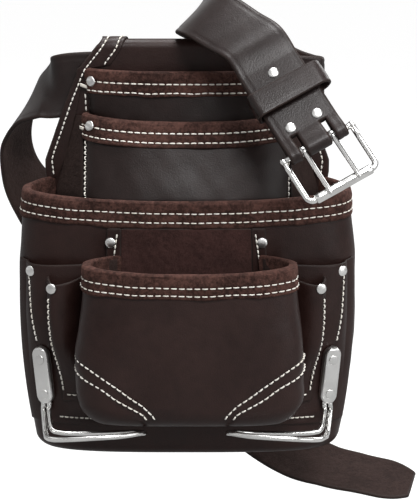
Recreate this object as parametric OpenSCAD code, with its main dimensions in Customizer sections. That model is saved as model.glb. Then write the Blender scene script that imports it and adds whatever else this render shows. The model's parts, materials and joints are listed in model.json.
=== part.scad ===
// Leather nail and tool pouch hanging on its own two-inch work belt.
// Millimetres. X to the wearer's left as seen from the front, Y away from the
// viewer, Z up. The origin is on the underside of the main pocket; the rear
// plane of the back panel is rear_y behind it.

/* [Pouch body] */
// Height of the folded top edge above the base
body_h = 324; // [318:1:332]
// Full width of the main pocket at its widest
main_w = 268; // [256:1:280]
// Distance of the main pocket's front from the rear plane
main_depth = 76; // [72:1:80]
// Height of the main pocket's rim at its sides
main_rim_z = 209; // [206:1:210]
// Radius of the main pocket's bottom edge
bottom_r = 10; // [9:1:14]
// Leather thickness of the pocket walls
wall_t = 3; // [2.4:0.1:3.2]

/* [Upper pockets] */
// Rim height of the rear upper pocket at its ends
rear_rim_z = 299; // [297:1:300]
// Rim height of the front upper pocket at its ends
upper_rim_z = 264; // [262:1:266]
// Depth of the folded suede bindings on the upper rims
upper_trim_h = 17; // [15:1:20]

/* [Front pocket] */
// Full width of the front pocket at its widest
front_w = 176; // [168:1:178]
// Distance of the front pocket's face from the rear plane
front_depth = 132; // [126:1:136]
// Rim height of the front pocket at its sides
front_rim_z = 162; // [160:1:165]
// Height of the underside of the front pocket
front_base_z = 37; // [35:1:38]

/* [Belt] */
// Width of the strap
belt_w = 50; // [46:1:51]
// Thickness of the strap
belt_t = 3.5; // [3:0.1:3.6]
// Centre height of the belt tunnel
tunnel_z = 289; // [288:1:290]
// Gap between the back panel and the tunnel's rear wall
tunnel_gap = 8; // [7.6:0.1:8]

/* [Buckle] */
// Radius of the buckle frame's wire
frame_r = 2.4; // [2.2:0.1:2.5]
// Hinge bar to outer bar
frame_len = 38; // [36:1:40]
// Outer radius of the roller
roller_r = 3.8; // [3.4:0.1:3.9]
// Radius of the two tongues
tongue_r = 1.9; // [1.6:0.1:2]

/* [Hammer loops] */
// Radius of the loop wire
wire_r = 2; // [1.8:0.1:2.2]
// Height of the riveted plates
plate_h = 48; // [44:1:50]

/* [Hidden] */
$fn = 48;
panel_t = 3.2;
rear_y = 30;
gap = 0.2;
face_y = panel_t + gap;
side_y = 28;
split = 0.8;
bulge_e = 0.625;
steps = 28;
trim_t = 1.5;
suede_t = 1.4;
panel_layer = 2.2;
rivet_r = 4.1;
side_cx = 3;
bar_clear = 0.05;
strap_in = frame_r + 0.1;
fold_r = strap_in + belt_t;
pair_t = 2 * belt_t + 0.2;
lap_y = 73;
tongue_x = 12.5;
keeper_w = 20;
keeper_y = 47;
keeper_t = 2.4;
buckle_pos = [99, -105, 256];
buckle_turn = [55.4, -27, 13.1];

// ---------- plain helpers ----------

function mix(a, b, t) = a + (b - a) * t;
function clamp01(t) = max(0, min(1, t));
function ease(t) = clamp01(t) * clamp01(t) * (3 - 2 * clamp01(t));
function unit(v) = v / norm(v);
// Hill that is zero at both ends of lo..hi and one in the middle
function hill(t, lo, hi) = t <= lo || t >= hi ? 0 : pow(sin(180 * (t - lo) / (hi - lo)), 0.8);

module in_pouch() {
  translate([0, rear_y, 0])
    children();
}

// Closed skin between an outer and an inner grid of points
module skin(outer, inner) {
  rows = len(outer);
  cols = len(outer[0]);
  count = rows * cols;
  points = concat([for (row = outer) for (p = row) p], [for (row = inner) for (p = row) p]);
  outer_faces = [for (i = [0:rows - 2]) for (j = [0:cols - 2]) each [
    [i * cols + j, i * cols + j + 1, (i + 1) * cols + j + 1],
    [i * cols + j, (i + 1) * cols + j + 1, (i + 1) * cols + j]]];
  inner_faces = [for (f = outer_faces) [f[2] + count, f[1] + count, f[0] + count]];
  top = [for (j = [0:cols - 2]) each [
    [j, j + count, j + 1 + count], [j, j + 1 + count, j + 1]]];
  k = (rows - 1) * cols;
  low = [for (j = [0:cols - 2]) each [
    [k + j, k + j + 1 + count, k + j + count], [k + j, k + j + 1, k + j + 1 + count]]];
  m = cols - 1;
  left = [for (i = [0:rows - 2]) each [
    [i * cols, (i + 1) * cols + count, i * cols + count], [i * cols, (i + 1) * cols, (i + 1) * cols + count]]];
  right = [for (i = [0:rows - 2]) each [
    [i * cols + m, i * cols + m + count, (i + 1) * cols + m + count],
    [i * cols + m, (i + 1) * cols + m + count, (i + 1) * cols + m]]];
  polyhedron(points, concat(outer_faces, inner_faces, top, low, left, right), convexity = 6);
}

// Closed solid whose walls are an outer and an inner grid and whose floor closes to a rear point
module bowl(outer, inner, outer_tip, inner_tip) {
  rows = len(outer);
  cols = len(outer[0]);
  count = rows * cols;
  tip = 2 * count;
  points = concat([for (row = outer) for (p = row) p], [for (row = inner) for (p = row) p], [outer_tip, inner_tip]);
  k = (rows - 1) * cols;
  m = cols - 1;
  walls = [for (i = [0:rows - 2]) for (j = [0:cols - 2]) each [
    [i * cols + j, i * cols + j + 1, (i + 1) * cols + j + 1],
    [i * cols + j, (i + 1) * cols + j + 1, (i + 1) * cols + j]]];
  inside = [for (f = walls) [f[2] + count, f[1] + count, f[0] + count]];
  floor_out = [for (j = [0:cols - 2]) [k + j, k + j + 1, tip]];
  floor_in = [for (j = [0:cols - 2]) [k + j + 1 + count, k + j + count, tip + 1]];
  top = [for (j = [0:cols - 2]) each [
    [j, j + count, j + 1 + count], [j, j + 1 + count, j + 1]]];
  left = [for (i = [0:rows - 2]) each [
    [i * cols, (i + 1) * cols + count, i * cols + count], [i * cols, (i + 1) * cols, (i + 1) * cols + count]]];
  right = [for (i = [0:rows - 2]) each [
    [i * cols + m, i * cols + m + count, (i + 1) * cols + m + count],
    [i * cols + m, (i + 1) * cols + m + count, (i + 1) * cols + m]]];
  ends = [[k, tip, tip + 1], [k, tip + 1, k + count],
    [k + m, tip + 1, tip], [k + m, k + m + count, tip + 1]];
  polyhedron(points, concat(walls, inside, floor_out, floor_in, top, left, right, ends), convexity = 8);
}

// Ring of section points swept along a row of stations; each station is one closed loop
module lofted(loops) {
  rows = len(loops);
  n = len(loops[0]);
  points = [for (loop = loops) for (p = loop) p];
  sides = [for (i = [0:rows - 2]) for (j = [0:n - 1]) each [
    [i * n + j, (i + 1) * n + j, (i + 1) * n + (j + 1) % n],
    [i * n + j, (i + 1) * n + (j + 1) % n, i * n + (j + 1) % n]]];
  first = [[for (j = [0:n - 1]) j]];
  last = [[for (j = [0:n - 1]) (rows - 1) * n + n - 1 - j]];
  polyhedron(points, concat(sides, first, last), convexity = 8);
}

// ---------- surfaces of the pouch ----------

// Plan shape shared by the pockets: s runs -1..1 from the left end round the front to the right end
function plan(s, half, end_half, front, side, end_y, e) =
  let (a = abs(s), g = sign(s))
  a <= split
    ? let (t = 90 * (1 - a / split)) [g * half * pow(cos(t), e), -(side + (front - side) * pow(sin(t), e))]
    : let (q = (a - split) / (1 - split)) [g * (half - (half - end_half) * pow(q, 1.6)), -(side - (side - end_y) * q)];

function main_half(z) = main_w / 2 - (z < 117 ? 8 : 5.5) * pow((z - 117) / 92, 2);
function main_face(z) = main_depth - 4 * clamp01((main_rim_z - z) / 180);
function main_end(z) = 111 + 2 * ease((213 - z) / 60) - 5 * ease((60 - z) / 50);
function main_at(s, z, out) =
  let (p = plan(s, main_half(z) + out, main_end(z) + out, main_face(z) + out, side_y, face_y, bulge_e))
  [p[0], p[1], z];
function main_turn(s, z) =
  let (d = main_at(s + 0.01, z, 0) - main_at(s - 0.01, z, 0)) atan2(d[1], d[0]);

function front_half(z) = front_w / 2 - 8 * ease((z - 80) / 90) - 6 * ease((66 - z) / 30);
function front_end(z) = 58 + 12 * ease((160 - z) / 60);
function front_face(z) = front_depth - 4 * ease((100 - z) / 60);
wall_y = main_depth + 2.4;
function front_at(s, z, out) =
  let (p = plan(s, front_half(z) + out, front_end(z) + out, front_face(z) + out, 101, wall_y, 0.6))
  [p[0] + side_cx, p[1], z];

rear_low_z = 140;
function rear_dip(s) = 1.6 * pow(cos(90 * s), 2);
function rear_close(z) = sqrt(max(0, 1 - pow(clamp01((178 - z) / (178 - rear_low_z)), 2)));
function rear_face(z) = face_y + wall_t + 0.4 + (12.5 + 4.5 * ease((rear_rim_z - z) / 50)) * rear_close(z);
function rear_at(s, z, out) =
  let (half = 77 + 2.5 * ease((z - 262) / 38), f = rear_face(z))
  [(half + out) * sign(s) * pow(sin(90 * abs(s)), 0.8),
   -(face_y + (f - face_y + out) * pow(cos(90 * s), 0.9)), z];

upper_low_z = 106;
function upper_close(z) = sqrt(max(0, 1 - pow(clamp01((152 - z) / (152 - upper_low_z)), 2)));
function upper_end(z) = face_y + 0.6 + (6 + 20 * min(1, (upper_rim_z - z) / 61)) * upper_close(z);
function upper_face(z) = upper_end(z) + wall_t + 0.4 + (20 + 2 * ease((upper_rim_z - z) / 60)) * upper_close(z);
function upper_dip(s) = 4.6 * pow(cos(90 * s), 2);
function upper_at(s, z, out) =
  [(82 + out) * sign(s) * pow(sin(90 * abs(s)), 0.8),
   -(upper_end(z) + (upper_face(z) - upper_end(z) + out) * pow(cos(90 * s), 0.8)), z];
function gusset_rear(z) = 87 + 17 * clamp01((upper_rim_z - z) / 61);

// Bulge of the side tool panel and of the sleeve sewn on it, measured outward from the main pocket
panel_s0 = 5 / steps;
panel_s1 = 18 / steps;
sleeve_s0 = 6 / steps;
sleeve_s1 = 9.5 / steps;
panel_top = 157;
panel_low = 26;
sleeve_top = 147;
sleeve_low = 46;
// The sleeve narrows toward its foot
function sleeve_s(s, z) = sleeve_s0 + (s - sleeve_s0) * (1 - 0.08 * (sleeve_top - z) / 90);
function panel_gap(a, z) = 0.3 + 7.5 * hill(a, panel_s0, 15.5 / steps) * ease((z - panel_low - 24) / 70);
function sleeve_gap(a, z) =
  panel_gap(a, z) + panel_layer + 0.3 + 9 * hill(a, sleeve_s0, sleeve_s1) * ease((z - sleeve_low - 4) / 50);

// Folded binding over a rim: section points as [outward offset, height from the rim]
function binding(h, wall) = [
  [gap, gap], [-wall - gap, gap], [-wall - gap, -h * 0.7], [-wall - gap - trim_t, -h * 0.7],
  [-wall - gap - trim_t, gap + 0.7], [-wall - gap - 0.6, gap + trim_t], [gap + 0.6, gap + trim_t],
  [gap + trim_t, gap + 0.7], [gap + trim_t, -h], [gap, -h]];

// ---------- back of the pouch ----------

function outline() = [
  [66, body_h], [85.5, 299.5], [97, 271.5], [106, 246], [113, 227], [113, 218], [111.5, 208],
  [113, 150], [113, 70], [109, 30], [101, 6], [94, 0]];

module mirrored_outline() {
  polygon(concat(outline(), [for (i = [len(outline()) - 1:-1:0]) [-outline()[i][0], outline()[i][1]]]));
}

module back_panel() {
  fold_r_out = (tunnel_gap + 2 * panel_t) / 2;
  fold_z = body_h - fold_r_out;
  flap_z = tunnel_z - belt_w / 2 - 3;
  color([0.24, 0.13, 0.09])
    in_pouch()
      intersection() {
        rotate([90, 0, 0])
          linear_extrude(height = 60, center = true)
            mirrored_outline();
        rotate([90, 0, 90])
          linear_extrude(height = 2 * main_w, center = true) {
            translate([-panel_t, 0])
              square([panel_t, fold_z]);
            translate([tunnel_gap, flap_z])
              square([panel_t, fold_z - flap_z]);
            translate([tunnel_gap / 2, fold_z])
              difference() {
                circle(r = fold_r_out, $fn = 64);
                circle(r = fold_r_out - panel_t, $fn = 64);
                translate([-fold_r_out, -fold_r_out - 1])
                  square([2 * fold_r_out, fold_r_out + 1]);
              }
            polygon([[tunnel_gap, flap_z], [tunnel_gap + panel_t, flap_z], [panel_t, flap_z - 14],
              [panel_t, flap_z - 30], [-0.5, flap_z - 30], [-0.5, flap_z - 12], [0, flap_z - 12]]);
          }
      }
}

module edge_strip() {
  translate([0, -face_y, 0])
    rotate([90, 0, 0])
      linear_extrude(height = 1.7)
        polygon([[47, 316], [66 + 0.4, 316], [71.5, 316], [84.6, 299.2], [96.2, 271.5], [105, 246.5], [112, 227],
          [112, 218], [110.5, 213], [106, 213], [99.5, 227], [89.5, 266], [86, 283], [83.2, 299.4],
          [81.9, 301.9], [80.5, 303.4], [62, 303.4]]);
}

module edge_strip_left() {
  color([0.27, 0.15, 0.1])
    in_pouch()
      mirror([1, 0, 0])
        edge_strip();
}

module edge_strip_right() {
  color([0.27, 0.15, 0.1])
    in_pouch()
      edge_strip();
}

// ---------- upper pockets ----------

module upper_rear_pocket() {
  drops = [0, 14, 29, 49, 74, 99, 121, 131, 141, 149, 155, rear_rim_z - rear_low_z];
  color([0.23, 0.12, 0.08])
    in_pouch()
      skin([for (d = drops) [for (i = [-16:16])
          rear_at(i / 16, rear_rim_z - d - rear_dip(i / 16) * (1 - d / (rear_rim_z - rear_low_z)), 0)]],
        [for (d = drops) [for (i = [-16:16])
          rear_at(i / 16, rear_rim_z - d - rear_dip(i / 16) * (1 - d / (rear_rim_z - rear_low_z)), -wall_t)]]);
}

module upper_rear_trim() {
  color([0.3, 0.14, 0.1])
    in_pouch()
      lofted([for (i = [-16:16]) [for (q = binding(upper_trim_h, wall_t))
        rear_at(i / 16, rear_rim_z - rear_dip(i / 16) + q[1], q[0])]]);
}

module upper_front_pocket() {
  drops = [0, 16, 34, 61, 85, 114, 124, 134, 144, 152, upper_rim_z - upper_low_z];
  color([0.23, 0.12, 0.08])
    in_pouch()
      skin([for (d = drops) [for (i = [-16:16])
          upper_at(i / 16, upper_rim_z - d - upper_dip(i / 16) * (1 - d / (upper_rim_z - upper_low_z)), 0)]],
        [for (d = drops) [for (i = [-16:16])
          upper_at(i / 16, upper_rim_z - d - upper_dip(i / 16) * (1 - d / (upper_rim_z - upper_low_z)), -wall_t)]]);
}

module upper_front_trim() {
  color([0.3, 0.14, 0.1])
    in_pouch()
      lofted([for (i = [-16:16]) [for (q = binding(upper_trim_h, wall_t))
        upper_at(i / 16, upper_rim_z - upper_dip(i / 16) + q[1], q[0])]]);
}

// Wedge that joins the front upper pocket's seam to the back panel
module upper_gusset() {
  heights = [upper_rim_z - 1, 250, 228, 205, 180, 152, 138, 126, 116];
  outer = [for (z = heights) [for (t = [0, 0.5, 1])
    [mix(gusset_rear(z), 82.6, t), -mix(face_y, upper_end(z) - 0.9, t), z]]];
  inner = [for (z = heights) [for (t = [0, 0.5, 1])
    [mix(gusset_rear(z) - panel_layer - 1, 80.2, t), -mix(face_y, upper_end(z) - 0.9, t), z]]];
  skin(inner, outer);
}

module upper_gusset_left() {
  color([0.25, 0.14, 0.1])
    in_pouch()
      mirror([1, 0, 0])
        upper_gusset();
}

module upper_gusset_right() {
  color([0.25, 0.14, 0.1])
    in_pouch()
      upper_gusset();
}

// ---------- main pocket ----------

// Share of the way from the middle to the side, squared
function side_share(s, e) = pow(cos(90 * (1 - min(abs(s), split) / split)), 2 * e);
function main_rim(s) = main_rim_z - 5.5 * (1 - side_share(s, bulge_e)) + 2 * ease((abs(s) - 0.84) / 0.16);
function front_rim(s) = front_rim_z - 3.6 * (1 - side_share(s, 0.6));
main_trim_h = 18.6;
front_trim_h = 16.8;

module main_pocket() {
  heights = [190, 170, 145, 117, 90, 60, 36, bottom_r];
  turns = [22.5, 45, 67.5, 90];
  columns = [for (i = [-steps:steps]) i / steps];
  inner_r = bottom_r - wall_t;
  color([0.22, 0.11, 0.08])
    in_pouch()
      bowl(
        concat([for (d = [0, 9]) [for (s = columns) main_at(s, main_rim(s) - d, 0)]],
          [for (z = heights) [for (s = columns) main_at(s, z, 0)]],
          [for (b = turns) [for (s = columns) main_at(s, bottom_r * (1 - sin(b)), -bottom_r * (1 - cos(b)))]]),
        concat([for (d = [0, 9]) [for (s = columns) main_at(s, main_rim(s) - d, -wall_t)]],
          [for (z = heights) [for (s = columns) main_at(s, z, -wall_t)]],
          [for (b = turns) [for (s = columns)
            main_at(s, bottom_r - inner_r * sin(b), -bottom_r + inner_r * cos(b))]]),
        [0, -face_y, 0], [0, -face_y, wall_t]);
}

module main_trim() {
  color([0.3, 0.14, 0.1])
    in_pouch()
      lofted([for (i = [-steps:steps]) [for (q = binding(main_trim_h, wall_t))
        main_at(i / steps, main_rim(i / steps) + q[1], q[0])]]);
}

// ---------- front pocket ----------

module front_pocket() {
  heights = [126, 112, 98, 75, front_base_z + 18];
  turns = [22.5, 45, 67.5, 90];
  r = 18;
  inner_r = r - wall_t;
  n = 24;
  color([0.22, 0.11, 0.08])
    in_pouch()
      bowl(
        concat([for (d = [0, 9, front_trim_h]) [for (i = [-n:n]) front_at(i / n, front_rim(i / n) - d, 0)]],
          [for (z = heights) [for (i = [-n:n]) front_at(i / n, z, 0)]],
          [for (b = turns) [for (i = [-n:n]) front_at(i / n, front_base_z + r * (1 - sin(b)), -r * (1 - cos(b)))]]),
        concat([for (d = [0, 9, front_trim_h]) [for (i = [-n:n]) front_at(i / n, front_rim(i / n) - d, -wall_t)]],
          [for (z = heights) [for (i = [-n:n]) front_at(i / n, z, -wall_t)]],
          [for (b = turns) [for (i = [-n:n])
            front_at(i / n, front_base_z + r - inner_r * sin(b), -r + inner_r * cos(b))]]),
        [side_cx, -wall_y, front_base_z], [side_cx, -wall_y, front_base_z + wall_t]);
}

module front_trim() {
  n = 24;
  color([0.3, 0.14, 0.1])
    in_pouch()
      lofted([for (i = [-n:n]) [for (q = binding(front_trim_h, wall_t))
        front_at(i / n, front_rim(i / n) + q[1], q[0])]]);
}

// Patch lying on the main pocket between two columns and two heights
module main_patch(i0, i1, z0, z1, out, t) {
  spans = ceil(i1 - i0);
  columns = [for (k = [0:spans]) mix(i0, i1, k / spans) / steps];
  skin([for (z = [z1, (z0 + z1) / 2, z0]) [for (s = columns) main_at(s, z, out + t)]],
    [for (z = [z1, (z0 + z1) / 2, z0]) [for (s = columns) main_at(s, z, out)]]);
}

// Top of the patches, just clear of the main binding's lower edge
patch_top = main_rim_z - 5.5 - main_trim_h - 0.3;

module front_pocket_back() {
  color([0.33, 0.17, 0.12])
    in_pouch()
      main_patch(-3, 3, 60, patch_top, 0.3, suede_t);
}

module front_tab_left() {
  color([0.22, 0.11, 0.08])
    in_pouch()
      main_patch(-4.1, -3.1, 120, patch_top, 0.3, 1.9);
}

module front_tab_right() {
  color([0.22, 0.11, 0.08])
    in_pouch()
      main_patch(3.1, 4.1, 120, patch_top, 0.3, 1.9);
}

// ---------- side tool holders ----------

module tool_panel() {
  heights = [panel_top, 135, 115, 90, 65, 45, 34, panel_low];
  columns = [for (i = [5:18]) i / steps];
  skin([for (z = heights) [for (s = columns) main_at(s, z - 2 * hill(s, panel_s0, panel_s1) * (z == panel_top ? 1 : 0),
      panel_gap(s, z) + panel_layer)]],
    [for (z = heights) [for (s = columns) main_at(s, z - 2 * hill(s, panel_s0, panel_s1) * (z == panel_top ? 1 : 0),
      panel_gap(s, z))]]);
}

module tool_sleeve() {
  heights = [sleeve_top, 120, 100, 80, 64, 54, sleeve_low];
  columns = [for (i = [0:12]) mix(sleeve_s0, sleeve_s1, i / 12)];
  skin([for (z = heights) [for (s = columns)
      main_at(sleeve_s(s, z), z - (z == sleeve_top ? 5 * hill(s, sleeve_s0, sleeve_s1) : 0),
        sleeve_gap(s, z) + panel_layer)]],
    [for (z = heights) [for (s = columns)
      main_at(sleeve_s(s, z), z - (z == sleeve_top ? 5 * hill(s, sleeve_s0, sleeve_s1) : 0), sleeve_gap(s, z))]]);
}

module tool_panel_left() {
  color([0.23, 0.12, 0.09])
    in_pouch()
      mirror([1, 0, 0])
        tool_panel();
}

module tool_panel_right() {
  color([0.23, 0.12, 0.09])
    in_pouch()
      tool_panel();
}

module tool_sleeve_left() {
  color([0.23, 0.12, 0.09])
    in_pouch()
      mirror([1, 0, 0])
        tool_sleeve();
}

module tool_sleeve_right() {
  color([0.23, 0.12, 0.09])
    in_pouch()
      tool_sleeve();
}

// ---------- hammer loops ----------

plate_s = 11.8 / steps;
plate_z = 66.5;
plate_tilt = 2;
plate_w = 14.6;
plate_t = 1.2;
strand_x = 2.5;
strand_z = 2.6;
channel_w = 2 * strand_x + 2 * wire_r + 0.6;
channel_h = strand_z + wire_r + 0.4;
channel_len = 24;
plate_high = channel_h + plate_t;
plate_turn = main_turn(plate_s, plate_z);
plate_out = [sin(plate_turn), -cos(plate_turn), 0];
plate_head = main_at(plate_s, plate_z + 24, panel_gap(plate_s, plate_z + 24) + panel_layer);
plate_foot = main_at(plate_s, plate_z - 24, panel_gap(plate_s, plate_z - 24) + panel_layer);
plate_at = (plate_head + plate_foot) / 2 + 0.6 * plate_out;
// The plate leans with the leather below it
plate_lean = atan2((plate_head - plate_foot) * plate_out, 48);

// Frame of the riveted plate: local Z points out of the leather, local Y up
module on_plate() {
  translate(plate_at)
    rotate([0, 0, plate_turn])
      rotate([90 + plate_lean, 0, 0])
        rotate([0, 0, -plate_tilt])
          children();
}

// A point given in the plate's frame
function plate_point(p) =
  let (x = p[0] * cos(plate_tilt) + p[1] * sin(plate_tilt),
    y = p[1] * cos(plate_tilt) - p[0] * sin(plate_tilt), q = 90 + plate_lean,
    v = y * cos(q) - p[2] * sin(q), w = y * sin(q) + p[2] * cos(q))
  plate_at + [x * cos(plate_turn) - v * sin(plate_turn), x * sin(plate_turn) + v * cos(plate_turn), w];

function spline_point(a, b, c, d, t) =
  0.5 * ((2 * b) + (c - a) * t + (2 * a - 5 * b + 4 * c - d) * t * t + (3 * b - a - 3 * c + d) * t * t * t);
function spline(p, n) = concat([for (i = [0:len(p) - 2]) for (k = [0:n - 1])
  spline_point(p[max(0, i - 1)], p[i], p[i + 1], p[min(len(p) - 1, i + 2)], k / n)], [p[len(p) - 1]]);
function tangent(p, i) = unit(p[min(len(p) - 1, i + 1)] - p[max(0, i - 1)]);

// Round wire along a path, framed by the direction away from a centre point
module wire(path, centre, r, n) {
  lofted([for (i = [0:len(path) - 1])
    let (t = tangent(path, i), v = path[i] - centre, u = unit(v - (v * t) * t), w = cross(t, u))
      [for (j = [0:n - 1]) path[i] + r * (cos(360 * j / n) * u + sin(360 * j / n) * w)]]);
}

module hammer_loop() {
  // The two strands come down side by side from under the plate
  inner = [for (q = [[-3, 0], [-21, 0], [-25.5, 0.7], [-30, 2.2]]) plate_point([-strand_x, q[0], strand_z + q[1]])];
  outer = [for (q = [[-30, 2.2], [-25.5, 0.7], [-21, 0], [-3, 0]]) plate_point([strand_x, q[0], strand_z + q[1]])];
  path = concat(inner, [[106, -85, 27], [100, -88, 24.5], [86, -88, 23.5], [68, -87.5, 23.5], [50, -89, 24.5],
    [38, -97, 27.5], [32, -112, 31.6], [36, -126, 35.5], [50, -134.5, 36], [70, -137.5, 35.5], [88, -136, 34],
    [101, -128.5, 31.5], [107, -116, 29], [109, -102, 27], [110.5, -91, 26.5]], outer);
  wire(spline(path, 3), [72, -112, 29], wire_r, 10);
}

module hammer_loop_left() {
  color([0.78, 0.78, 0.76])
    in_pouch()
      mirror([1, 0, 0])
        hammer_loop();
}

module hammer_loop_right() {
  color([0.78, 0.78, 0.76])
    in_pouch()
      hammer_loop();
}

// Round-ended plate, hollow below the middle where the two wire ends go up into it
module hammer_plate() {
  end_y = (plate_h - plate_w) / 2;
  on_plate()
    difference() {
      linear_extrude(height = plate_high) {
        square([plate_w, 2 * end_y], center = true);
        for (y = [-end_y, end_y])
          translate([0, y])
            circle(d = plate_w, $fn = 48);
      }
      translate([-channel_w / 2, -plate_h / 2 - 1, -1])
        cube([channel_w, channel_len + 1, channel_h + 1]);
    }
}

module hammer_plate_left() {
  color([0.8, 0.8, 0.78])
    in_pouch()
      mirror([1, 0, 0])
        hammer_plate();
}

module hammer_plate_right() {
  color([0.8, 0.8, 0.78])
    in_pouch()
      hammer_plate();
}

// Domed cap with a short shank below it
module rivet(r, h, shank) {
  rotate_extrude($fn = 32)
    polygon([[0, 0], [r, 0], [r, 0.35 * h], [0.8 * r, 0.75 * h], [0.4 * r, 0.96 * h], [0, h]]);
  translate([0, 0, -shank])
    cylinder(r = 0.35 * r, h = shank + 0.1, $fn = 24);
}

module hammer_rivets() {
  color([0.72, 0.72, 0.7])
    in_pouch()
      for (side = [0, 1])
        mirror([side, 0, 0])
          on_plate() {
            for (y = [-plate_h / 2 + 9, plate_h / 2 - 10])
              translate([0, y, plate_high + 0.1])
                rivet(rivet_r, 1.2, 1.2);
          }
}

// A rivet on the main pocket's side of the pouch, pushed out by the layers below it
module main_rivet(s, z, out) {
  translate(main_at(s, z, out))
    rotate([0, 0, main_turn(s, z)])
      rotate([90, 0, 0])
        rivet(rivet_r, 1.7, 2);
}

module pocket_rivets() {
  color([0.72, 0.72, 0.7])
    in_pouch()
      for (side = [0, 1])
        mirror([side, 0, 0]) {
          main_rivet(12.9 / steps, 150, panel_gap(12.9 / steps, 150) + panel_layer + 0.5);
          main_rivet(8.1 / steps, 140, sleeve_gap(8.2 / steps, 140) + panel_layer + 1);
          main_rivet(3.85 / steps, 174, 2.5);
          translate(rear_at(0.755, 291.5, trim_t + gap + 1.2))
            rotate([90, 0, 36])
              rivet(rivet_r, 1.7, 3);
          translate(upper_at(0.71, 257.8, trim_t + gap + 1.2))
            rotate([90, 0, 36])
              rivet(rivet_r, 1.7, 3);
        }
}

// ---------- belt ----------

// Frame of the buckle end: local X along the hinge bar, local Y up the strap, local Z out of its face
module on_buckle() {
  translate(buckle_pos)
    rotate(buckle_turn)
      children();
}

function turn_x(v, a) = [v[0], v[1] * cos(a) - v[2] * sin(a), v[1] * sin(a) + v[2] * cos(a)];
function turn_y(v, a) = [v[0] * cos(a) + v[2] * sin(a), v[1], -v[0] * sin(a) + v[2] * cos(a)];
function turn_z(v, a) = [v[0] * cos(a) - v[1] * sin(a), v[0] * sin(a) + v[1] * cos(a), v[2]];
function buckle_dir(v) = turn_z(turn_y(turn_x(v, buckle_turn[0]), buckle_turn[1]), buckle_turn[2]);
function buckle_point(v) = buckle_pos + buckle_dir(v);

strap_mid = 0.1 + belt_t / 2;
// Centre line of the strap with the direction of its upper edge at each station
strap_line = [
  [[186, -6, -47], [0.05, 0.93, 0.36]],
  [[166, -1, -44], [0.05, 0.93, 0.36]],
  [[143, 6, -41], [0.05, 0.93, 0.36]],
  [[118, 16, -38], [0.08, 0.9, 0.42]],
  [[90, 27, -30], [0.2, 0.75, 0.6]],
  [[60, 35, -10], [0.4, 0.5, 0.75]],
  [[25, 40, 22], [0.6, 0.2, 0.75]],
  [[-20, 44, 66], [0.66, 0.05, 0.75]],
  [[-66, 47, 112], [0.68, 0, 0.72]],
  [[-106, 51, 158], [0.66, 0.25, 0.66]],
  [[-127, 54, 185], [0.52, 0.6, 0.6]],
  [[-140, 54, 208], [0.44, 0.78, 0.42]],
  [[-143.5, 49, 232], [0.42, 0.86, 0.28]],
  [[-138, 41, 252], [0.42, 0.7, 0.5]],
  [[-128.5, 29.5, 269.5], [0.38, 0.58, 0.72]],
  [[-115.5, 17, 280], [0.18, 0.55, 0.8]],
  [[-104.5, 6.9, 285], [0.02, 0.08, 1]],
  [[-90, tunnel_gap / 2, tunnel_z - 1], [0, 0, 1]],
  [[-60, tunnel_gap / 2, tunnel_z], [0, 0, 1]],
  [[0, tunnel_gap / 2, tunnel_z], [0, 0, 1]],
  [[60, tunnel_gap / 2, tunnel_z], [0, 0, 1]],
  [[84, tunnel_gap / 2, tunnel_z - 3], [0, 0, 1]],
  [[99.5, 4.1, tunnel_z - 4], [0, 0, 1]],
  [[106.2, 6.4, tunnel_z - 5], [0, 0, 1]],
  [[109, 12.2, tunnel_z - 5.5], [0, 0, 1]],
  [[106.2, 18.2, tunnel_z - 5], [0, 0, 1]],
  [[98, 21.8, tunnel_z - 4], [0, 0, 1]],
  [[82, 26, 290], [0, 0.05, 1]],
  [[64, 34, 300], [0, 0.12, 1]],
  [[46, 42, 314], [0.04, 0.22, 1]],
  [[28, 42, 330], [0.15, 0.35, 0.9]],
  [[12, 24, 343], [0.45, 0.35, 0.75]],
  [[9, 0, 346], [0.65, 0.25, 0.62]],
  [[19, -22, 344], [0.75, 0.2, 0.56]],
  [[36, -42, 335], [0.82, 0.2, 0.5]]];
strap_join = [for (y = [lap_y + 22, lap_y + 0.05]) [buckle_point([0, y, strap_mid]), buckle_dir([1, 0, 0])]];
strap_all = concat(strap_line, strap_join);
strap_steps = 4;

module strap_run() {
  centre = spline([for (q = strap_all) q[0]], strap_steps);
  guide = spline([for (q = strap_all) q[1]], strap_steps);
  last = len(centre) - 1;
  tip = [20, 24, 25];
  lofted([for (i = [0:last])
    let (t = tangent(centre, i), g = guide[i], w = unit(g - (g * t) * t), n = cross(w, t),
      half = i < 3 ? (tip[i] - 3) * belt_w / 50 : belt_w / 2,
      thick = belt_t / 2)
      [centre[i] + half * w + thick * n, centre[i] + half * w - thick * n,
       centre[i] - half * w - thick * n, centre[i] - half * w + thick * n]]);
}

// Doubled end of the strap folded round the buckle bar, with two slots for the tongues
module strap_fold() {
  on_buckle()
    difference() {
      rotate([90, 0, 90])
        linear_extrude(height = belt_w, center = true)
          polygon(concat(
            [[lap_y, pair_t / 2], [14, pair_t / 2]],
            [for (a = [90:9:270]) [fold_r * cos(a), fold_r * sin(a)]],
            [[14, -pair_t / 2], [lap_y, -pair_t / 2], [lap_y, -0.1], [13, -0.1]],
            [for (a = [270:-9:90]) [strap_in * cos(a), strap_in * sin(a)]],
            [[13, 0.1], [lap_y, 0.1]]));
      for (x = [-tongue_x, tongue_x])
        translate([x - 3.8, -fold_r - 1, -fold_r - 1])
          cube([7.6, fold_r + 16, 2 * fold_r + 2]);
      for (p = [[-11.5, 20], [11.5, 20], [0, 65.5]])
        translate([p[0], p[1], -pair_t])
          cylinder(r = 1.5, h = 2 * pair_t, $fn = 24);
    }
}

module belt_strap() {
  color([0.21, 0.11, 0.08])
    in_pouch() {
      strap_run();
      strap_fold();
    }
}

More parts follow.
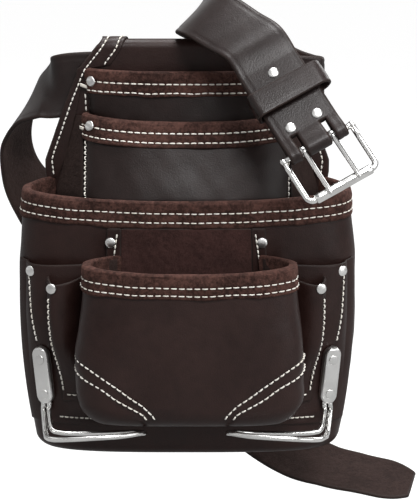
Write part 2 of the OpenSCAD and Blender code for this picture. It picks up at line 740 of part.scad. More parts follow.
module belt_rivets() {
  color([0.72, 0.72, 0.7])
    in_pouch()
      on_buckle()
        for (p = [[-11.5, 20], [11.5, 20], [0, 65.5]])
          translate([p[0], p[1], 0]) {
            translate([0, 0, pair_t / 2 + 0.05])
              rivet(rivet_r, 1.7, 2 * belt_t);
            translate([0, 0, -pair_t / 2 - 0.95])
              cylinder(r = rivet_r - 0.4, h = 0.9, $fn = 32);
            translate([0, 0, -pair_t / 2 - 0.3])
              cylinder(r = 1.43, h = pair_t, $fn = 24);
          }
}

// Loose loop that holds the strap's free end; it stands off the strap's right edge
module belt_keeper() {
  low = -pair_t / 2 - 0.6 - keeper_t;
  high = pair_t / 2 + 4.6 + keeper_t;
  left = -belt_w / 2 - 1.2 - keeper_t;
  right = belt_w / 2 + 7 + keeper_t;
  mid = (low + high) / 2;
  r = (high - low) / 2;
  color([0.22, 0.11, 0.08])
    in_pouch()
      on_buckle()
        translate([0, keeper_y + keeper_w / 2, 0])
          rotate([90, 0, 0])
            linear_extrude(height = keeper_w)
              difference() {
                union() {
                  translate([left, low])
                    square([right - r - left, high - low]);
                  translate([right - r, mid])
                    circle(r = r, $fn = 48);
                }
                translate([left + keeper_t, low + keeper_t])
                  square([right - r - left - keeper_t, high - low - 2 * keeper_t]);
                translate([right - r, mid])
                  circle(r = r - keeper_t, $fn = 48);
              }
}

// ---------- buckle ----------

frame_half = belt_w / 2 + 2.2 + frame_r;
corner_r = 5;

module bar(x0, x1, r) {
  translate([x0, 0, 0])
    rotate([0, 90, 0])
      cylinder(r = r, h = x1 - x0, $fn = 48);
}

module buckle_frame() {
  color([0.8, 0.8, 0.78])
    in_pouch()
      on_buckle() {
        bar(-frame_half, frame_half, frame_r);
        translate([0, -frame_len, 0])
          bar(corner_r - frame_half, frame_half - corner_r, frame_r);
        for (side = [-1, 1]) {
          translate([side * frame_half, 0, 0])
            sphere(r = frame_r, $fn = 48);
          translate([side * frame_half, -frame_len + corner_r, 0])
            rotate([-90, 0, 0])
              cylinder(r = frame_r, h = frame_len - corner_r, $fn = 48);
          translate([side * (frame_half - corner_r), corner_r - frame_len, 0])
            rotate([0, 0, side > 0 ? -90 : 180])
              rotate_extrude(angle = 90, $fn = 48)
                translate([corner_r, 0])
                  circle(r = frame_r, $fn = 48);
        }
      }
}

module buckle_roller() {
  color([0.82, 0.82, 0.8])
    in_pouch()
      on_buckle()
        translate([0, -frame_len, 0])
          difference() {
            bar(corner_r + 0.5 - frame_half, frame_half - corner_r - 0.5, roller_r);
            bar(-frame_half, frame_half, frame_r + bar_clear);
          }
}

// One tongue: an eye on the hinge bar and a straight prong resting above the roller
module tongue(x) {
  eye_in = frame_r + bar_clear;
  eye_r = eye_in + 1.9;
  rise = roller_r + tongue_r + 0.08;
  start_z = eye_r - tongue_r + 0.3;
  reach = frame_len + 4;
  lift = atan2(rise - start_z, frame_len);
  translate([x, 0, 0]) {
    difference() {
      union() {
        bar(-2.4, 2.4, eye_r);
        translate([0, 0, start_z])
          rotate([90 - lift, 0, 0])
            rotate_extrude($fn = 32)
              polygon([[0, 0], [tongue_r, 0], [tongue_r, reach - 2], [0.6 * tongue_r, reach], [0, reach]]);
      }
      bar(-4, 4, eye_in);
    }
  }
}

module buckle_tongue_left() {
  color([0.8, 0.8, 0.78])
    in_pouch()
      on_buckle()
        tongue(-tongue_x);
}

module buckle_tongue_right() {
  color([0.8, 0.8, 0.78])
    in_pouch()
      on_buckle()
        tongue(tongue_x);
}

back_panel();
edge_strip_left();
edge_strip_right();
upper_gusset_left();
upper_gusset_right();
upper_rear_pocket();
upper_rear_trim();
upper_front_pocket();
upper_front_trim();
main_pocket();
main_trim();
front_pocket_back();
front_tab_left();
front_tab_right();
front_pocket();
front_trim();
tool_panel_left();
tool_panel_right();
tool_sleeve_left();
tool_sleeve_right();
hammer_loop_left();
hammer_loop_right();
hammer_plate_left();
hammer_plate_right();
hammer_rivets();
pocket_rivets();
belt_strap();
belt_rivets();
belt_keeper();
buckle_frame();
buckle_roller();
buckle_tongue_left();
buckle_tongue_right();
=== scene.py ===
"""Leather nail and tool pouch on its own belt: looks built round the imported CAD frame."""
import json
import math
import random

import bpy
import numpy as np
from mathutils import Matrix, Vector, kdtree


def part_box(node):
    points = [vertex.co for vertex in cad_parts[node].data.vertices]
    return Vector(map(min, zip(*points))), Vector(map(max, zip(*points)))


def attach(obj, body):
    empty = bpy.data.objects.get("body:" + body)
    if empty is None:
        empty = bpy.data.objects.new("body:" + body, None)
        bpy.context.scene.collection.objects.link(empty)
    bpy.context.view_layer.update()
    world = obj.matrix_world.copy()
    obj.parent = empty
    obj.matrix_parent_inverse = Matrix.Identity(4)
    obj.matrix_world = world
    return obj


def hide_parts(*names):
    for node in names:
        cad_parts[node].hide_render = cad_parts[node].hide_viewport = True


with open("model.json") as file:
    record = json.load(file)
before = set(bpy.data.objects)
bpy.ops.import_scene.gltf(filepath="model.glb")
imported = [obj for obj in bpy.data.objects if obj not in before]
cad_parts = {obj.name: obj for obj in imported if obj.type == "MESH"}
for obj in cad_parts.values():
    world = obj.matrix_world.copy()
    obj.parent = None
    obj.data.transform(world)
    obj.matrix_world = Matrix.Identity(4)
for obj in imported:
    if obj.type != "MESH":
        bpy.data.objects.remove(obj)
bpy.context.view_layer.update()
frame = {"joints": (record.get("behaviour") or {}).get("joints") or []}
RNG = random.Random(7)
REAR_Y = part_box("back_panel")[0].y * 1000 + 3.2      # rear face of the back panel, mm
BODY_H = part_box("back_panel")[1].z * 1000
FACE_Y = 3.4            # front face of the back panel, mm
WALL = 3.0              # thickness of a pocket wall
STEPS = 28              # columns from the middle of the pouch to its side, as the CAD counts them
MAIN_RIM_Z = 209
FRONT_RIM_Z = 162
REAR_RIM_Z = 299
UPPER_RIM_Z = 264
BOTTOM_R = 10           # radius round the main pocket's bottom edge
FRONT_BASE_Z = 37
FRONT_R = 18            # radius round the front pocket's bottom edge
PATCH_TOP = 184.5       # top of the pieces sewn on below the main binding
PANEL_S = (5 / STEPS, 18 / STEPS)
PANEL_TOP, PANEL_LOW = 157, 26
SLEEVE_S = (6 / STEPS, 9.5 / STEPS)
SLEEVE_TOP, SLEEVE_LOW = 147, 46
PANEL_T = 2.2           # thickness of a panel or sleeve with the gap below it
TUNNEL_Z = 289


# ---------- numbers and grids ----------

def ease(t):
    t = np.clip(t, 0, 1)
    return t * t * (3 - 2 * t)


def unit(v):
    n = np.linalg.norm(v, axis=-1, keepdims=True)
    return v / np.where(n < 1e-12, 1, n)


def mesh_grid(us, vs):
    """Column values along the last axis, row values down the first."""
    return np.meshgrid(np.asarray(us, float), np.asarray(vs, float))


def waves(p, size, seed, amp=1.0):
    """Smooth wandering value of a point, built from a few sine waves."""
    r = np.random.RandomState(seed)
    out = np.zeros(p.shape[:-1])
    for _ in range(7):
        k = unit(r.normal(size=3)) * (2 * math.pi / size) * r.uniform(0.6, 1.5)
        out += np.sin(p @ k + r.uniform(0, 6.28))
    return amp * out / 2.6


def spline(points, n):
    """Catmull-Rom through the points, n steps a span."""
    p = np.asarray(points, float)
    out = []
    for i in range(len(p) - 1):
        a, b, c, d = p[max(0, i - 1)], p[i], p[i + 1], p[min(len(p) - 1, i + 2)]
        for k in range(n):
            t = k / n
            out.append(0.5 * (2 * b + (c - a) * t + (2 * a - 5 * b + 4 * c - d) * t * t
                              + (3 * b - a - 3 * c + d) * t ** 3))
    out.append(p[-1])
    return np.array(out)


def resample(line, step):
    """Points every step along a polyline, ends kept."""
    line = np.asarray(line, float)
    d = np.concatenate([[0], np.cumsum(np.linalg.norm(np.diff(line, axis=0), axis=1))])
    n = max(2, int(round(d[-1] / step)) + 1)
    s = np.linspace(0, d[-1], n)
    return np.stack([np.interp(s, d, line[:, k]) for k in range(line.shape[1])], 1)


def grid_normals(p, closed=False):
    if closed:
        du = np.roll(p, -1, 1) - np.roll(p, 1, 1)
    else:
        du = np.gradient(p, axis=1)
    dv = np.gradient(p, axis=0)
    return unit(np.cross(dv, du))


# ---------- surfaces of the pouch, in mm with y = 0 at the back panel's rear face ----------

SPLIT = 0.8


def plan(s, half, end_half, front, side, end_y, e):
    a, g = np.abs(s), np.sign(s)
    t = np.radians(90 * (1 - np.minimum(a, SPLIT) / SPLIT))
    fx = half * np.cos(t).clip(0) ** e
    fy = -(side + (front - side) * np.sin(t).clip(0) ** e)
    q = np.clip((a - SPLIT) / (1 - SPLIT), 0, 1)
    rx = half - (half - end_half) * q ** 1.6
    ry = -(side - (side - end_y) * q)
    return np.where(a <= SPLIT, g * fx, g * rx), np.where(a <= SPLIT, fy, ry)


def main_half(z):
    return 134 - np.where(z < 117, 8, 5.5) * ((z - 117) / 92) ** 2


def main_at(s, z, out):
    s, z, out = np.broadcast_arrays(np.asarray(s, float), z, out)
    face = 76 - 4 * np.clip((MAIN_RIM_Z - z) / 180, 0, 1)
    end = 111 + 2 * ease((213 - z) / 60) - 5 * ease((60 - z) / 50)
    x, y = plan(s, main_half(z) + out, end + out, face + out, 28, FACE_Y, 0.625)
    return np.stack([x, y, z], -1)


def side_share(s, e):
    """How far toward the side a column is, squared: 0 in the middle, 1 at the side."""
    return np.cos(np.radians(90 * (1 - np.minimum(np.abs(s), SPLIT) / SPLIT))).clip(0) ** (2 * e)


def main_rim(s):
    return MAIN_RIM_Z - 5.5 * (1 - side_share(s, 0.625)) + 2 * ease((np.abs(s) - 0.84) / 0.16)


def front_rim(s):
    return FRONT_RIM_Z - 3.6 * (1 - side_share(s, 0.6))


def rear_rim(s):
    return REAR_RIM_Z - 1.6 * np.cos(np.radians(90 * s)) ** 2


def front_at(s, z, out):
    s, z, out = np.broadcast_arrays(np.asarray(s, float), z, out)
    half = 88 - 8 * ease((z - 80) / 90) - 6 * ease((66 - z) / 30)
    end = 58 + 12 * ease((160 - z) / 60)
    face = 132 - 4 * ease((100 - z) / 60)
    x, y = plan(s, half + out, end + out, face + out, 101, 78.4, 0.6)
    return np.stack([x + 3, y, z], -1)


def rear_at(s, z, out):
    s, z, out = np.broadcast_arrays(np.asarray(s, float), z, out)
    close = np.sqrt(np.clip(1 - np.clip((178 - z) / 38, 0, 1) ** 2, 0, 1))
    f = FACE_Y + WALL + 0.4 + (12.5 + 4.5 * ease((REAR_RIM_Z - z) / 50)) * close
    half = 77 + 2.5 * ease((z - 262) / 38)
    a = np.radians(90 * s)
    x = (half + out) * np.sign(s) * np.abs(np.sin(a)) ** 0.8
    y = -(FACE_Y + (f - FACE_Y + out) * np.cos(a).clip(0) ** 0.9)
    return np.stack([x, y, z], -1)


def upper_end(z):
    close = np.sqrt(np.clip(1 - np.clip((152 - z) / 46, 0, 1) ** 2, 0, 1))
    return FACE_Y + 0.6 + (6 + 20 * np.minimum(1, (UPPER_RIM_Z - z) / 61)) * close


def upper_at(s, z, out):
    s, z, out = np.broadcast_arrays(np.asarray(s, float), z, out)
    close = np.sqrt(np.clip(1 - np.clip((152 - z) / 46, 0, 1) ** 2, 0, 1))
    e = upper_end(z)
    f = e + WALL + 0.4 + (20 + 2 * ease((UPPER_RIM_Z - z) / 60)) * close
    a = np.radians(90 * s)
    x = (82 + out) * np.sign(s) * np.abs(np.sin(a)) ** 0.8
    y = -(e + (f - e + out) * np.cos(a).clip(0) ** 0.8)
    return np.stack([x, y, z], -1)


def upper_rim(s):
    return UPPER_RIM_Z - 4.6 * np.cos(np.radians(90 * s)) ** 2


def hill(t, lo, hi):
    u = np.clip((t - lo) / (hi - lo), 0, 1)
    return np.sin(math.pi * u).clip(0) ** 0.8


def panel_gap(s, z):
    a = np.abs(s)
    return 0.3 + 7.5 * hill(a, PANEL_S[0], 15.5 / STEPS) * ease((z - 50) / 70)


def sleeve_gap(s, z):
    a = np.abs(s)
    return panel_gap(a, z) + 2.5 + 9 * hill(a, *SLEEVE_S) * ease((z - 50) / 50)


OUTLINE_Z = [0, 6, 30, 70, 150, 208, 218, 227, 246, 271.5, 299.5, BODY_H]
OUTLINE_X = [94, 101, 109, 113, 113, 111.5, 113, 113, 106, 97, 85.5, 66]


def outline(z):
    return np.interp(z, OUTLINE_Z, OUTLINE_X)


# ---------- building meshes ----------

def to_frame(p):
    return (np.asarray(p, float) + np.array([0, REAR_Y, 0])) * 0.001


def make_object(name, verts, faces, mats, body, face_mat=None, smooth=True):
    me = bpy.data.meshes.new(name)
    me.from_pydata([tuple(v) for v in to_frame(verts)], [], faces)
    for m in mats:
        me.materials.append(m)
    if face_mat is not None:
        me.polygons.foreach_set("material_index", np.asarray(face_mat, np.int32))
    me.polygons.foreach_set("use_smooth", [smooth] * len(me.polygons))
    me.validate()
    me.update()
    ob = bpy.data.objects.new(name, me)
    bpy.context.scene.collection.objects.link(ob)
    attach(ob, body)
    return ob


def add_values(ob, name, values):
    a = ob.data.attributes.new(name, "FLOAT", "POINT")
    a.data.foreach_set("value", np.asarray(values, np.float32))


def sheet(name, p, t, mats, body="pouch", closed=False, mask=None, seams=None, groove=0.45, width=1.5,
          flip=False, bulge=0.0, edge_round=0.5):
    """Leather sheet: outer grid p, thickness t inward, rounded cut edges.

    The materials are for the face, the flesh side and the cut edge.
    """
    nv, nu = p.shape[:2]
    n = grid_normals(p, closed) * (-1 if flip else 1)
    seam_w = np.zeros(p.shape[:2])
    if seams:
        tree_pts = np.concatenate([resample(s, 0.8) for s in seams])
        tree = kdtree.KDTree(len(tree_pts))
        for i, q in enumerate(tree_pts):
            tree.insert(q, i)
        tree.balance()
        flat = p.reshape(-1, 3)
        d = np.array([tree.find(q)[2] for q in flat]).reshape(nv, nu)
        # painted shade: seam_w marks where the leather colour is darkened along the stitch grooves, stored as
        # the seam attribute
        seam_w = np.exp(-(d / (width * 1.7)) ** 2)
        p = p - n * (groove * np.exp(-(d / width) ** 2))[..., None]
        if bulge:
            p = p + n * (bulge * np.exp(-((d - 3.6) / 1.9) ** 2))[..., None]
    cols = nu if closed else nu - 1
    if mask is None:
        mask = np.ones((nv - 1, cols), bool)
    idx = np.arange(nv * nu).reshape(nv, nu)
    quads = []
    for i in range(nv - 1):
        for j in range(cols):
            if mask[i, j]:
                k = (j + 1) % nu
                quads.append((idx[i, j], idx[i, k], idx[i + 1, k], idx[i + 1, j]))
    if flip:
        quads = [q[::-1] for q in quads]
    outer, inner = p.reshape(-1, 3), (p - n * t).reshape(-1, 3)
    nn = n.reshape(-1, 3)
    count = nv * nu
    edges = {}
    for q in quads:
        for a, b in zip(q, q[1:] + q[:1]):
            if (b, a) in edges:
                del edges[(b, a)]
            else:
                edges[(a, b)] = q
    push = {}
    for (a, b), q in edges.items():
        c = outer[list(q)].mean(0)
        mid = (outer[a] + outer[b]) / 2
        along = outer[b] - outer[a]
        e = np.cross(along, nn[a])
        if e @ (mid - c) < 0:
            e = -e
        e = e / max(np.linalg.norm(e), 1e-9)
        for v in (a, b):
            push[v] = push.get(v, 0) + e
    verts = [outer, inner]
    ring, base = {}, 2 * count
    extra = []
    for v, e in push.items():
        e = e / max(np.linalg.norm(e), 1e-9)
        o, w = outer[v], nn[v]
        ring[v] = base + len(extra)
        extra += [o - w * t * 0.14 + e * t * edge_round * 0.72, o - w * t * 0.5 + e * t * edge_round,
                  o - w * t * 0.86 + e * t * edge_round * 0.72]
    if extra:
        verts.append(np.array(extra))
    faces = [q[::-1] for q in quads]
    kind = [0] * len(quads)
    faces += [tuple(v + count for v in q) for q in quads]
    kind += [1] * len(quads)
    for a, b in edges:
        ra, rb = ring[a], ring[b]
        chain_a, chain_b = [a, ra, ra + 1, ra + 2, a + count], [b, rb, rb + 1, rb + 2, b + count]
        for k in range(4):
            faces.append((chain_a[k], chain_b[k], chain_b[k + 1], chain_a[k + 1]))
            kind.append(2)
    verts = np.concatenate(verts)
    used = np.zeros(len(verts), bool)
    for f in faces:
        used[list(f)] = True
    remap = np.cumsum(used) - 1
    faces = [tuple(int(remap[v]) for v in f) for f in faces]
    ob = make_object(name, verts[used], faces, mats, body, kind)
    sw = np.concatenate([seam_w.ravel(), seam_w.ravel(), np.zeros(len(verts) - 2 * count)])
    add_values(ob, "seam", sw[used])
    return ob


def tube(path, radius, sides=12, ends=True, ref=None):
    """Verts and faces of a round rod along a path; radius may vary along it."""
    path = np.asarray(path, float)
    t = unit(np.gradient(path, axis=0))
    r = np.broadcast_to(np.asarray(radius, float), (len(path),))
    u = np.array(ref if ref is not None else ([0, 0, 1.0] if abs(t[0][2]) < 0.9 else [1.0, 0, 0]), float)
    verts, faces = [], []
    for i in range(len(path)):
        u = u - (u @ t[i]) * t[i]
        u /= max(np.linalg.norm(u), 1e-9)
        w = np.cross(t[i], u)
        for j in range(sides):
            a = 2 * math.pi * j / sides
            verts.append(path[i] + r[i] * (math.cos(a) * u + math.sin(a) * w))
    for i in range(len(path) - 1):
        for j in range(sides):
            k = (j + 1) % sides
            faces.append((i * sides + j, i * sides + k, (i + 1) * sides + k, (i + 1) * sides + j))
    if ends:
        faces.append(tuple(range(sides))[::-1])
        faces.append(tuple((len(path) - 1) * sides + j for j in range(sides)))
    return np.array(verts), faces


def joined(parts):
    verts, faces, base = [], [], 0
    for v, f in parts:
        verts.append(v)
        faces += [tuple(base + k for k in q) for q in f]
        base += len(v)
    return np.concatenate(verts), faces


def one_stitch(a, b, normal, r):
    """A short thread that dives into the leather at both ends."""
    t = (b - a)
    ts = np.array([-0.06, 0.03, 0.16, 0.38, 0.62, 0.84, 0.97, 1.06])
    lift = np.array([-1.5, -0.55, 0.35, 0.72, 0.72, 0.35, -0.55, -1.5]) * r
    rad = np.array([0.5, 0.85, 1.0, 1.05, 1.05, 1.0, 0.85, 0.5]) * r
    path = a + ts[:, None] * t + lift[:, None] * normal
    return tube(path, rad, 8, True, normal)


def stitch_row(line, normals, pitch, dash, r, skip=2.0):
    """Stitches along a line lying on leather."""
    d = np.concatenate([[0], np.cumsum(np.linalg.norm(np.diff(line, axis=0), axis=1))])
    total = d[-1] - 2 * skip
    n = max(1, int(round(total / pitch)))
    step = total / n
    parts = []
    for i in range(n):
        s0 = skip + i * step + (step - dash * step / pitch) / 2
        s1 = s0 + dash * step / pitch
        s0 += RNG.uniform(-0.12, 0.12)
        s1 += RNG.uniform(-0.12, 0.12)
        a = np.array([np.interp(s0, d, line[:, k]) for k in range(3)])
        b = np.array([np.interp(s1, d, line[:, k]) for k in range(3)])
        nm = unit(np.array([np.interp((s0 + s1) / 2, d, normals[:, k]) for k in range(3)]))
        side = unit(np.cross(nm, b - a))
        off = RNG.uniform(-0.06, 0.06)
        parts.append(one_stitch(a + side * off, b - side * off, nm, r))
    return parts


def surface_line(fn, s, z, out):
    """Points and outward normals of a line on one of the pouch surfaces."""
    s, z, out = np.broadcast_arrays(np.asarray(s, float), np.asarray(z, float), np.asarray(out, float))
    p = fn(s, z, out)
    ds = fn(s + 0.004, z, out) - fn(s - 0.004, z, out)
    dz = fn(s, z + 0.5, out) - fn(s, z - 0.5, out)
    n = unit(np.cross(ds, dz))
    return p, n


# ---------- materials ----------

def nodes_of(name):
    m = bpy.data.materials.new(name)
    m.use_nodes = True
    nt = m.node_tree
    return m, nt, nt.nodes["Principled BSDF"]


def link(nt, a, b):
    nt.links.new(a, b)


def node(nt, kind, **values):
    n = nt.nodes.new(kind)
    for k, v in values.items():
        if k in n.inputs:
            n.inputs[k].default_value = v
        else:
            setattr(n, k, v)
    return n


def coords(nt, scale=1.0):
    c = node(nt, "ShaderNodeTexCoord")
    m = node(nt, "ShaderNodeMapping")
    m.inputs["Scale"].default_value = (scale, scale, scale)
    link(nt, c.outputs["Object"], m.inputs["Vector"])
    return m.outputs["Vector"]


def ramp(nt, src, stops):
    r = node(nt, "ShaderNodeValToRGB")
    el = r.color_ramp.elements
    while len(el) < len(stops):
        el.new(0.5)
    for e, (pos, col) in zip(el, stops):
        e.position = pos
        e.color = (*col, 1) if len(col) == 3 else col
    link(nt, src, r.inputs["Fac"])
    return r.outputs["Color"]


def math_node(nt, op, a, b):
    n = node(nt, "ShaderNodeMath", operation=op)
    for i, v in enumerate((a, b)):
        if isinstance(v, (int, float)):
            n.inputs[i].default_value = v
        else:
            link(nt, v, n.inputs[i])
    return n.outputs[0]


def mix_colour(nt, fac, a, b, mode="MIX"):
    n = node(nt, "ShaderNodeMix", data_type="RGBA", blend_type=mode)
    for sock, v in ((n.inputs["Factor"], fac), (n.inputs["A"], a), (n.inputs["B"], b)):
        if isinstance(v, (int, float)):
            sock.default_value = v
        elif isinstance(v, tuple):
            sock.default_value = (*v, 1)
        else:
            link(nt, v, sock)
    return n.outputs["Result"]


def leather(name, dark, light, rough=(0.34, 0.50), grain=0.22, coat=0.05, seed=0.0):
    m, nt, b = nodes_of(name)
    v = coords(nt)
    off = node(nt, "ShaderNodeVectorMath", operation="ADD")
    link(nt, v, off.inputs[0])
    off.inputs[1].default_value = (seed, seed * 0.7, -seed)
    v = off.outputs[0]
    big = node(nt, "ShaderNodeTexNoise", Scale=18.0, Detail=4.0, Roughness=0.55)
    mid = node(nt, "ShaderNodeTexNoise", Scale=120.0, Detail=5.0, Roughness=0.6)
    pores = node(nt, "ShaderNodeTexVoronoi", Scale=900.0)
    pores.feature = "F1"
    fine = node(nt, "ShaderNodeTexNoise", Scale=1900.0, Detail=2.0)
    for n in (big, mid, pores, fine):
        link(nt, v, n.inputs["Vector"])
    tone = math_node(nt, "ADD", math_node(nt, "MULTIPLY", big.outputs["Fac"], 0.62),
                     math_node(nt, "MULTIPLY", mid.outputs["Fac"], 0.38))
    col = ramp(nt, tone, [(0.36, dark), (0.64, light)])
    # painted shade: the colour is pulled toward a darker brown near the stitch grooves, read from the seam
    # attribute
    seam = node(nt, "ShaderNodeAttribute", attribute_name="seam")
    seam_shade = math_node(nt, "MULTIPLY", seam.outputs["Fac"], 0.35)
    col = mix_colour(nt, seam_shade, col, tuple(c * 0.45 for c in dark))
    link(nt, col, b.inputs["Base Color"])
    r = node(nt, "ShaderNodeMapRange")
    r.inputs["To Min"].default_value, r.inputs["To Max"].default_value = rough
    r.inputs["From Min"].default_value, r.inputs["From Max"].default_value = 0.35, 0.65
    link(nt, tone, r.inputs["Value"])
    link(nt, r.outputs["Result"], b.inputs["Roughness"])
    h = math_node(nt, "ADD", math_node(nt, "MULTIPLY", pores.outputs["Distance"], 0.7),
                  math_node(nt, "MULTIPLY", fine.outputs["Fac"], 0.35))
    h = math_node(nt, "ADD", h, math_node(nt, "MULTIPLY", mid.outputs["Fac"], 1.3))
    bump = node(nt, "ShaderNodeBump", Strength=grain, Distance=0.0006)
    link(nt, h, bump.inputs["Height"])
    link(nt, bump.outputs["Normal"], b.inputs["Normal"])
    b.inputs["Coat Weight"].default_value = coat
    b.inputs["Coat Roughness"].default_value = 0.35
    b.inputs["Specular IOR Level"].default_value = 0.24
    return m


def suede(name, dark, light, seed=0.0):
    m, nt, b = nodes_of(name)
    v = coords(nt)
    big = node(nt, "ShaderNodeTexNoise", Scale=30.0 + seed, Detail=5.0, Roughness=0.65)
    nap = node(nt, "ShaderNodeTexNoise", Scale=560.0, Detail=5.0, Roughness=0.8)
    streak = node(nt, "ShaderNodeTexNoise", Scale=240.0, Detail=3.0, Roughness=0.6)
    for n in (big, nap, streak):
        link(nt, v, n.inputs["Vector"])
    tone = math_node(nt, "ADD", math_node(nt, "MULTIPLY", big.outputs["Fac"], 0.34),
                     math_node(nt, "ADD", math_node(nt, "MULTIPLY", nap.outputs["Fac"], 0.40),
                               math_node(nt, "MULTIPLY", streak.outputs["Fac"], 0.26)))
    col = ramp(nt, tone, [(0.43, dark), (0.58, light)])
    # painted shade: the suede colour is pulled toward a darker tone near the stitch rows, read from the seam
    # attribute
    seam = node(nt, "ShaderNodeAttribute", attribute_name="seam")
    seam_shade = math_node(nt, "MULTIPLY", seam.outputs["Fac"], 0.3)
    col = mix_colour(nt, seam_shade, col, tuple(c * 0.5 for c in dark))
    link(nt, col, b.inputs["Base Color"])
    b.inputs["Roughness"].default_value = 0.92
    b.inputs["Sheen Weight"].default_value = 0.22
    b.inputs["Sheen Roughness"].default_value = 0.4
    b.inputs["Sheen Tint"].default_value = (*[min(1, c * 4) for c in light], 1)
    b.inputs["Specular IOR Level"].default_value = 0.25
    bump = node(nt, "ShaderNodeBump", Strength=0.7, Distance=0.0009)
    link(nt, math_node(nt, "ADD", nap.outputs["Fac"], streak.outputs["Fac"]), bump.inputs["Height"])
    link(nt, bump.outputs["Normal"], b.inputs["Normal"])
    return m


def metal(name, colour, rough, scratch=0.12):
    m, nt, b = nodes_of(name)
    v = coords(nt)
    n1 = node(nt, "ShaderNodeTexNoise", Scale=400.0, Detail=4.0)
    n2 = node(nt, "ShaderNodeTexNoise", Scale=45.0, Detail=3.0)
    link(nt, v, n1.inputs["Vector"])
    link(nt, v, n2.inputs["Vector"])
    b.inputs["Metallic"].default_value = 1.0
    link(nt, ramp(nt, n2.outputs["Fac"], [(0.35, tuple(c * 0.82 for c in colour)), (0.65, colour)]),
         b.inputs["Base Color"])
    r = node(nt, "ShaderNodeMapRange")
    r.inputs["To Min"].default_value, r.inputs["To Max"].default_value = rough, rough + 0.14
    link(nt, n1.outputs["Fac"], r.inputs["Value"])
    link(nt, r.outputs["Result"], b.inputs["Roughness"])
    bump = node(nt, "ShaderNodeBump", Strength=scratch, Distance=0.0003)
    link(nt, n1.outputs["Fac"], bump.inputs["Height"])
    link(nt, bump.outputs["Normal"], b.inputs["Normal"])
    return m


def thread_material():
    m, nt, b = nodes_of("waxed_thread")
    v = coords(nt)
    w = node(nt, "ShaderNodeTexNoise", Scale=1500.0, Detail=2.0)
    g = node(nt, "ShaderNodeTexNoise", Scale=60.0, Detail=2.0)
    link(nt, v, w.inputs["Vector"])
    link(nt, v, g.inputs["Vector"])
    tint = ramp(nt, g.outputs["Fac"], [(0.3, (0.84, 0.79, 0.70)), (0.7, (0.96, 0.93, 0.87))])
    link(nt, tint, b.inputs["Base Color"])
    b.inputs["Roughness"].default_value = 0.7
    bump = node(nt, "ShaderNodeBump", Strength=0.3, Distance=0.0002)
    link(nt, w.outputs["Fac"], bump.inputs["Height"])
    link(nt, bump.outputs["Normal"], b.inputs["Normal"])
    return m


BROWN = (0.0150, 0.0060, 0.0048)
BROWN_HI = (0.0270, 0.0118, 0.0098)
HIDE = leather("oiled_leather", BROWN, BROWN_HI)
HIDE_2 = leather("oiled_leather_front", (0.0170, 0.0072, 0.0060), (0.0290, 0.0135, 0.0115), seed=3.1)
HIDE_UP = leather("oiled_leather_upper", (0.0085, 0.0038, 0.0031), (0.0150, 0.0072, 0.0062),
                  rough=(0.36, 0.54), seed=5.7)
BELT_HIDE = leather("belt_leather", (0.0105, 0.0055, 0.0049), (0.0190, 0.0112, 0.0102),
                    rough=(0.28, 0.42), coat=0.18, seed=9.2)
FLESH = suede("flesh_side", (0.020, 0.0110, 0.0092), (0.036, 0.0210, 0.0180), 4.0)
CUT = leather("cut_edge", (0.012, 0.0066, 0.0056), (0.030, 0.0180, 0.0150),
              rough=(0.5, 0.7), grain=0.4, coat=0.0, seed=2.0)
NAP = suede("suede_binding", (0.022, 0.0085, 0.0062), (0.094, 0.0430, 0.0335))
NAP_BACK = suede("suede_back_wall", (0.024, 0.0095, 0.0078), (0.052, 0.0220, 0.0190), 7.0)
THREAD = thread_material()
NICKEL = metal("polished_nickel", (0.84, 0.835, 0.82), 0.09)
SATIN = metal("satin_nickel", (0.84, 0.835, 0.82), 0.24, 0.16)
LEATHER3 = [HIDE, FLESH, CUT]
BELT3 = [BELT_HIDE, FLESH, CUT]


# ---------- pouch ----------

def back_path():
    """Outer face of the back panel: up the front, over the fold, down the rear and in to the seam."""
    pts = [(-3.2, z) for z in np.linspace(0, BODY_H - 7.2, 110)]
    pts += [(4 - 7.2 * math.cos(a), BODY_H - 7.2 + 7.2 * math.sin(a)) for a in np.linspace(0.12, math.pi, 22)]
    pts += [(11.2, z) for z in np.linspace(BODY_H - 10, 266, 24)]
    pts += [(11.1, 262), (10.6, 258), (9.3, 254), (7.4, 251), (5.4, 248.4), (4.1, 246), (3.5, 243)]
    pts += [(3.4, z) for z in np.linspace(241, 232, 7)]
    return np.array(pts)


def back_seams():
    rows = []
    for z in (242.0, 235.5):
        x = np.linspace(-outline(z) + 5, outline(z) - 5, 60)
        rows.append((np.stack([x, np.full(60, 3.5), np.full(60, z)], 1), np.tile([0, 1.0, 0], (60, 1))))
    return rows


def build_back_panel():
    path = back_path()
    u = np.linspace(-1, 1, 90)
    w = outline(path[:, 1])
    p = np.zeros((len(path), 90, 3))
    p[..., 0] = w[:, None] * u
    p[..., 1] = path[:, 0][:, None]
    p[..., 2] = path[:, 1][:, None]
    seams = back_seams()
    ob = sheet("back_panel_hide", p, 3.2, LEATHER3, seams=[s[0] for s in seams], groove=0.35, flip=True)
    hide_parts("back_panel")
    return seams


STRIP_IN_Z = [213, 227, 266, 283, 301.0, 303.8, BODY_H + 2]
STRIP_IN_X = [106, 99.5, 89.5, 86, 82.8, 62.0, 47]


def strip_profile():
    """Side view of the edge strip: y, z and how far up the strip each station counts as."""
    vs = [(-3.45, z, z) for z in np.linspace(213, BODY_H - 7.2, 70)]
    vs += [(4 - 7.45 * math.cos(a), BODY_H - 7.2 + 7.45 * math.sin(a), BODY_H - 7.2 + 9 * math.sin(a / 2))
           for a in np.linspace(0.12, math.pi, 18)]
    return np.array(vs + [(11.45, z, BODY_H) for z in np.linspace(BODY_H - 10, 296, 12)])


def strip_path(side):
    """Edge strip grid over the front face, the fold and a little way down the rear."""
    rows = []
    for y, z, key in strip_profile():
        xi = np.interp(min(key, BODY_H + 2), STRIP_IN_Z, STRIP_IN_X)
        xo = outline(min(z, BODY_H)) if y < 4 else outline(min(z, BODY_H - 2)) - 1
        xo = max(xo + 0.4, xi + 4)
        x = np.linspace(xi, xo, 14) * side
        rows.append(np.stack([x, np.full(14, y), np.full(14, z)], 1))
    return np.array(rows)


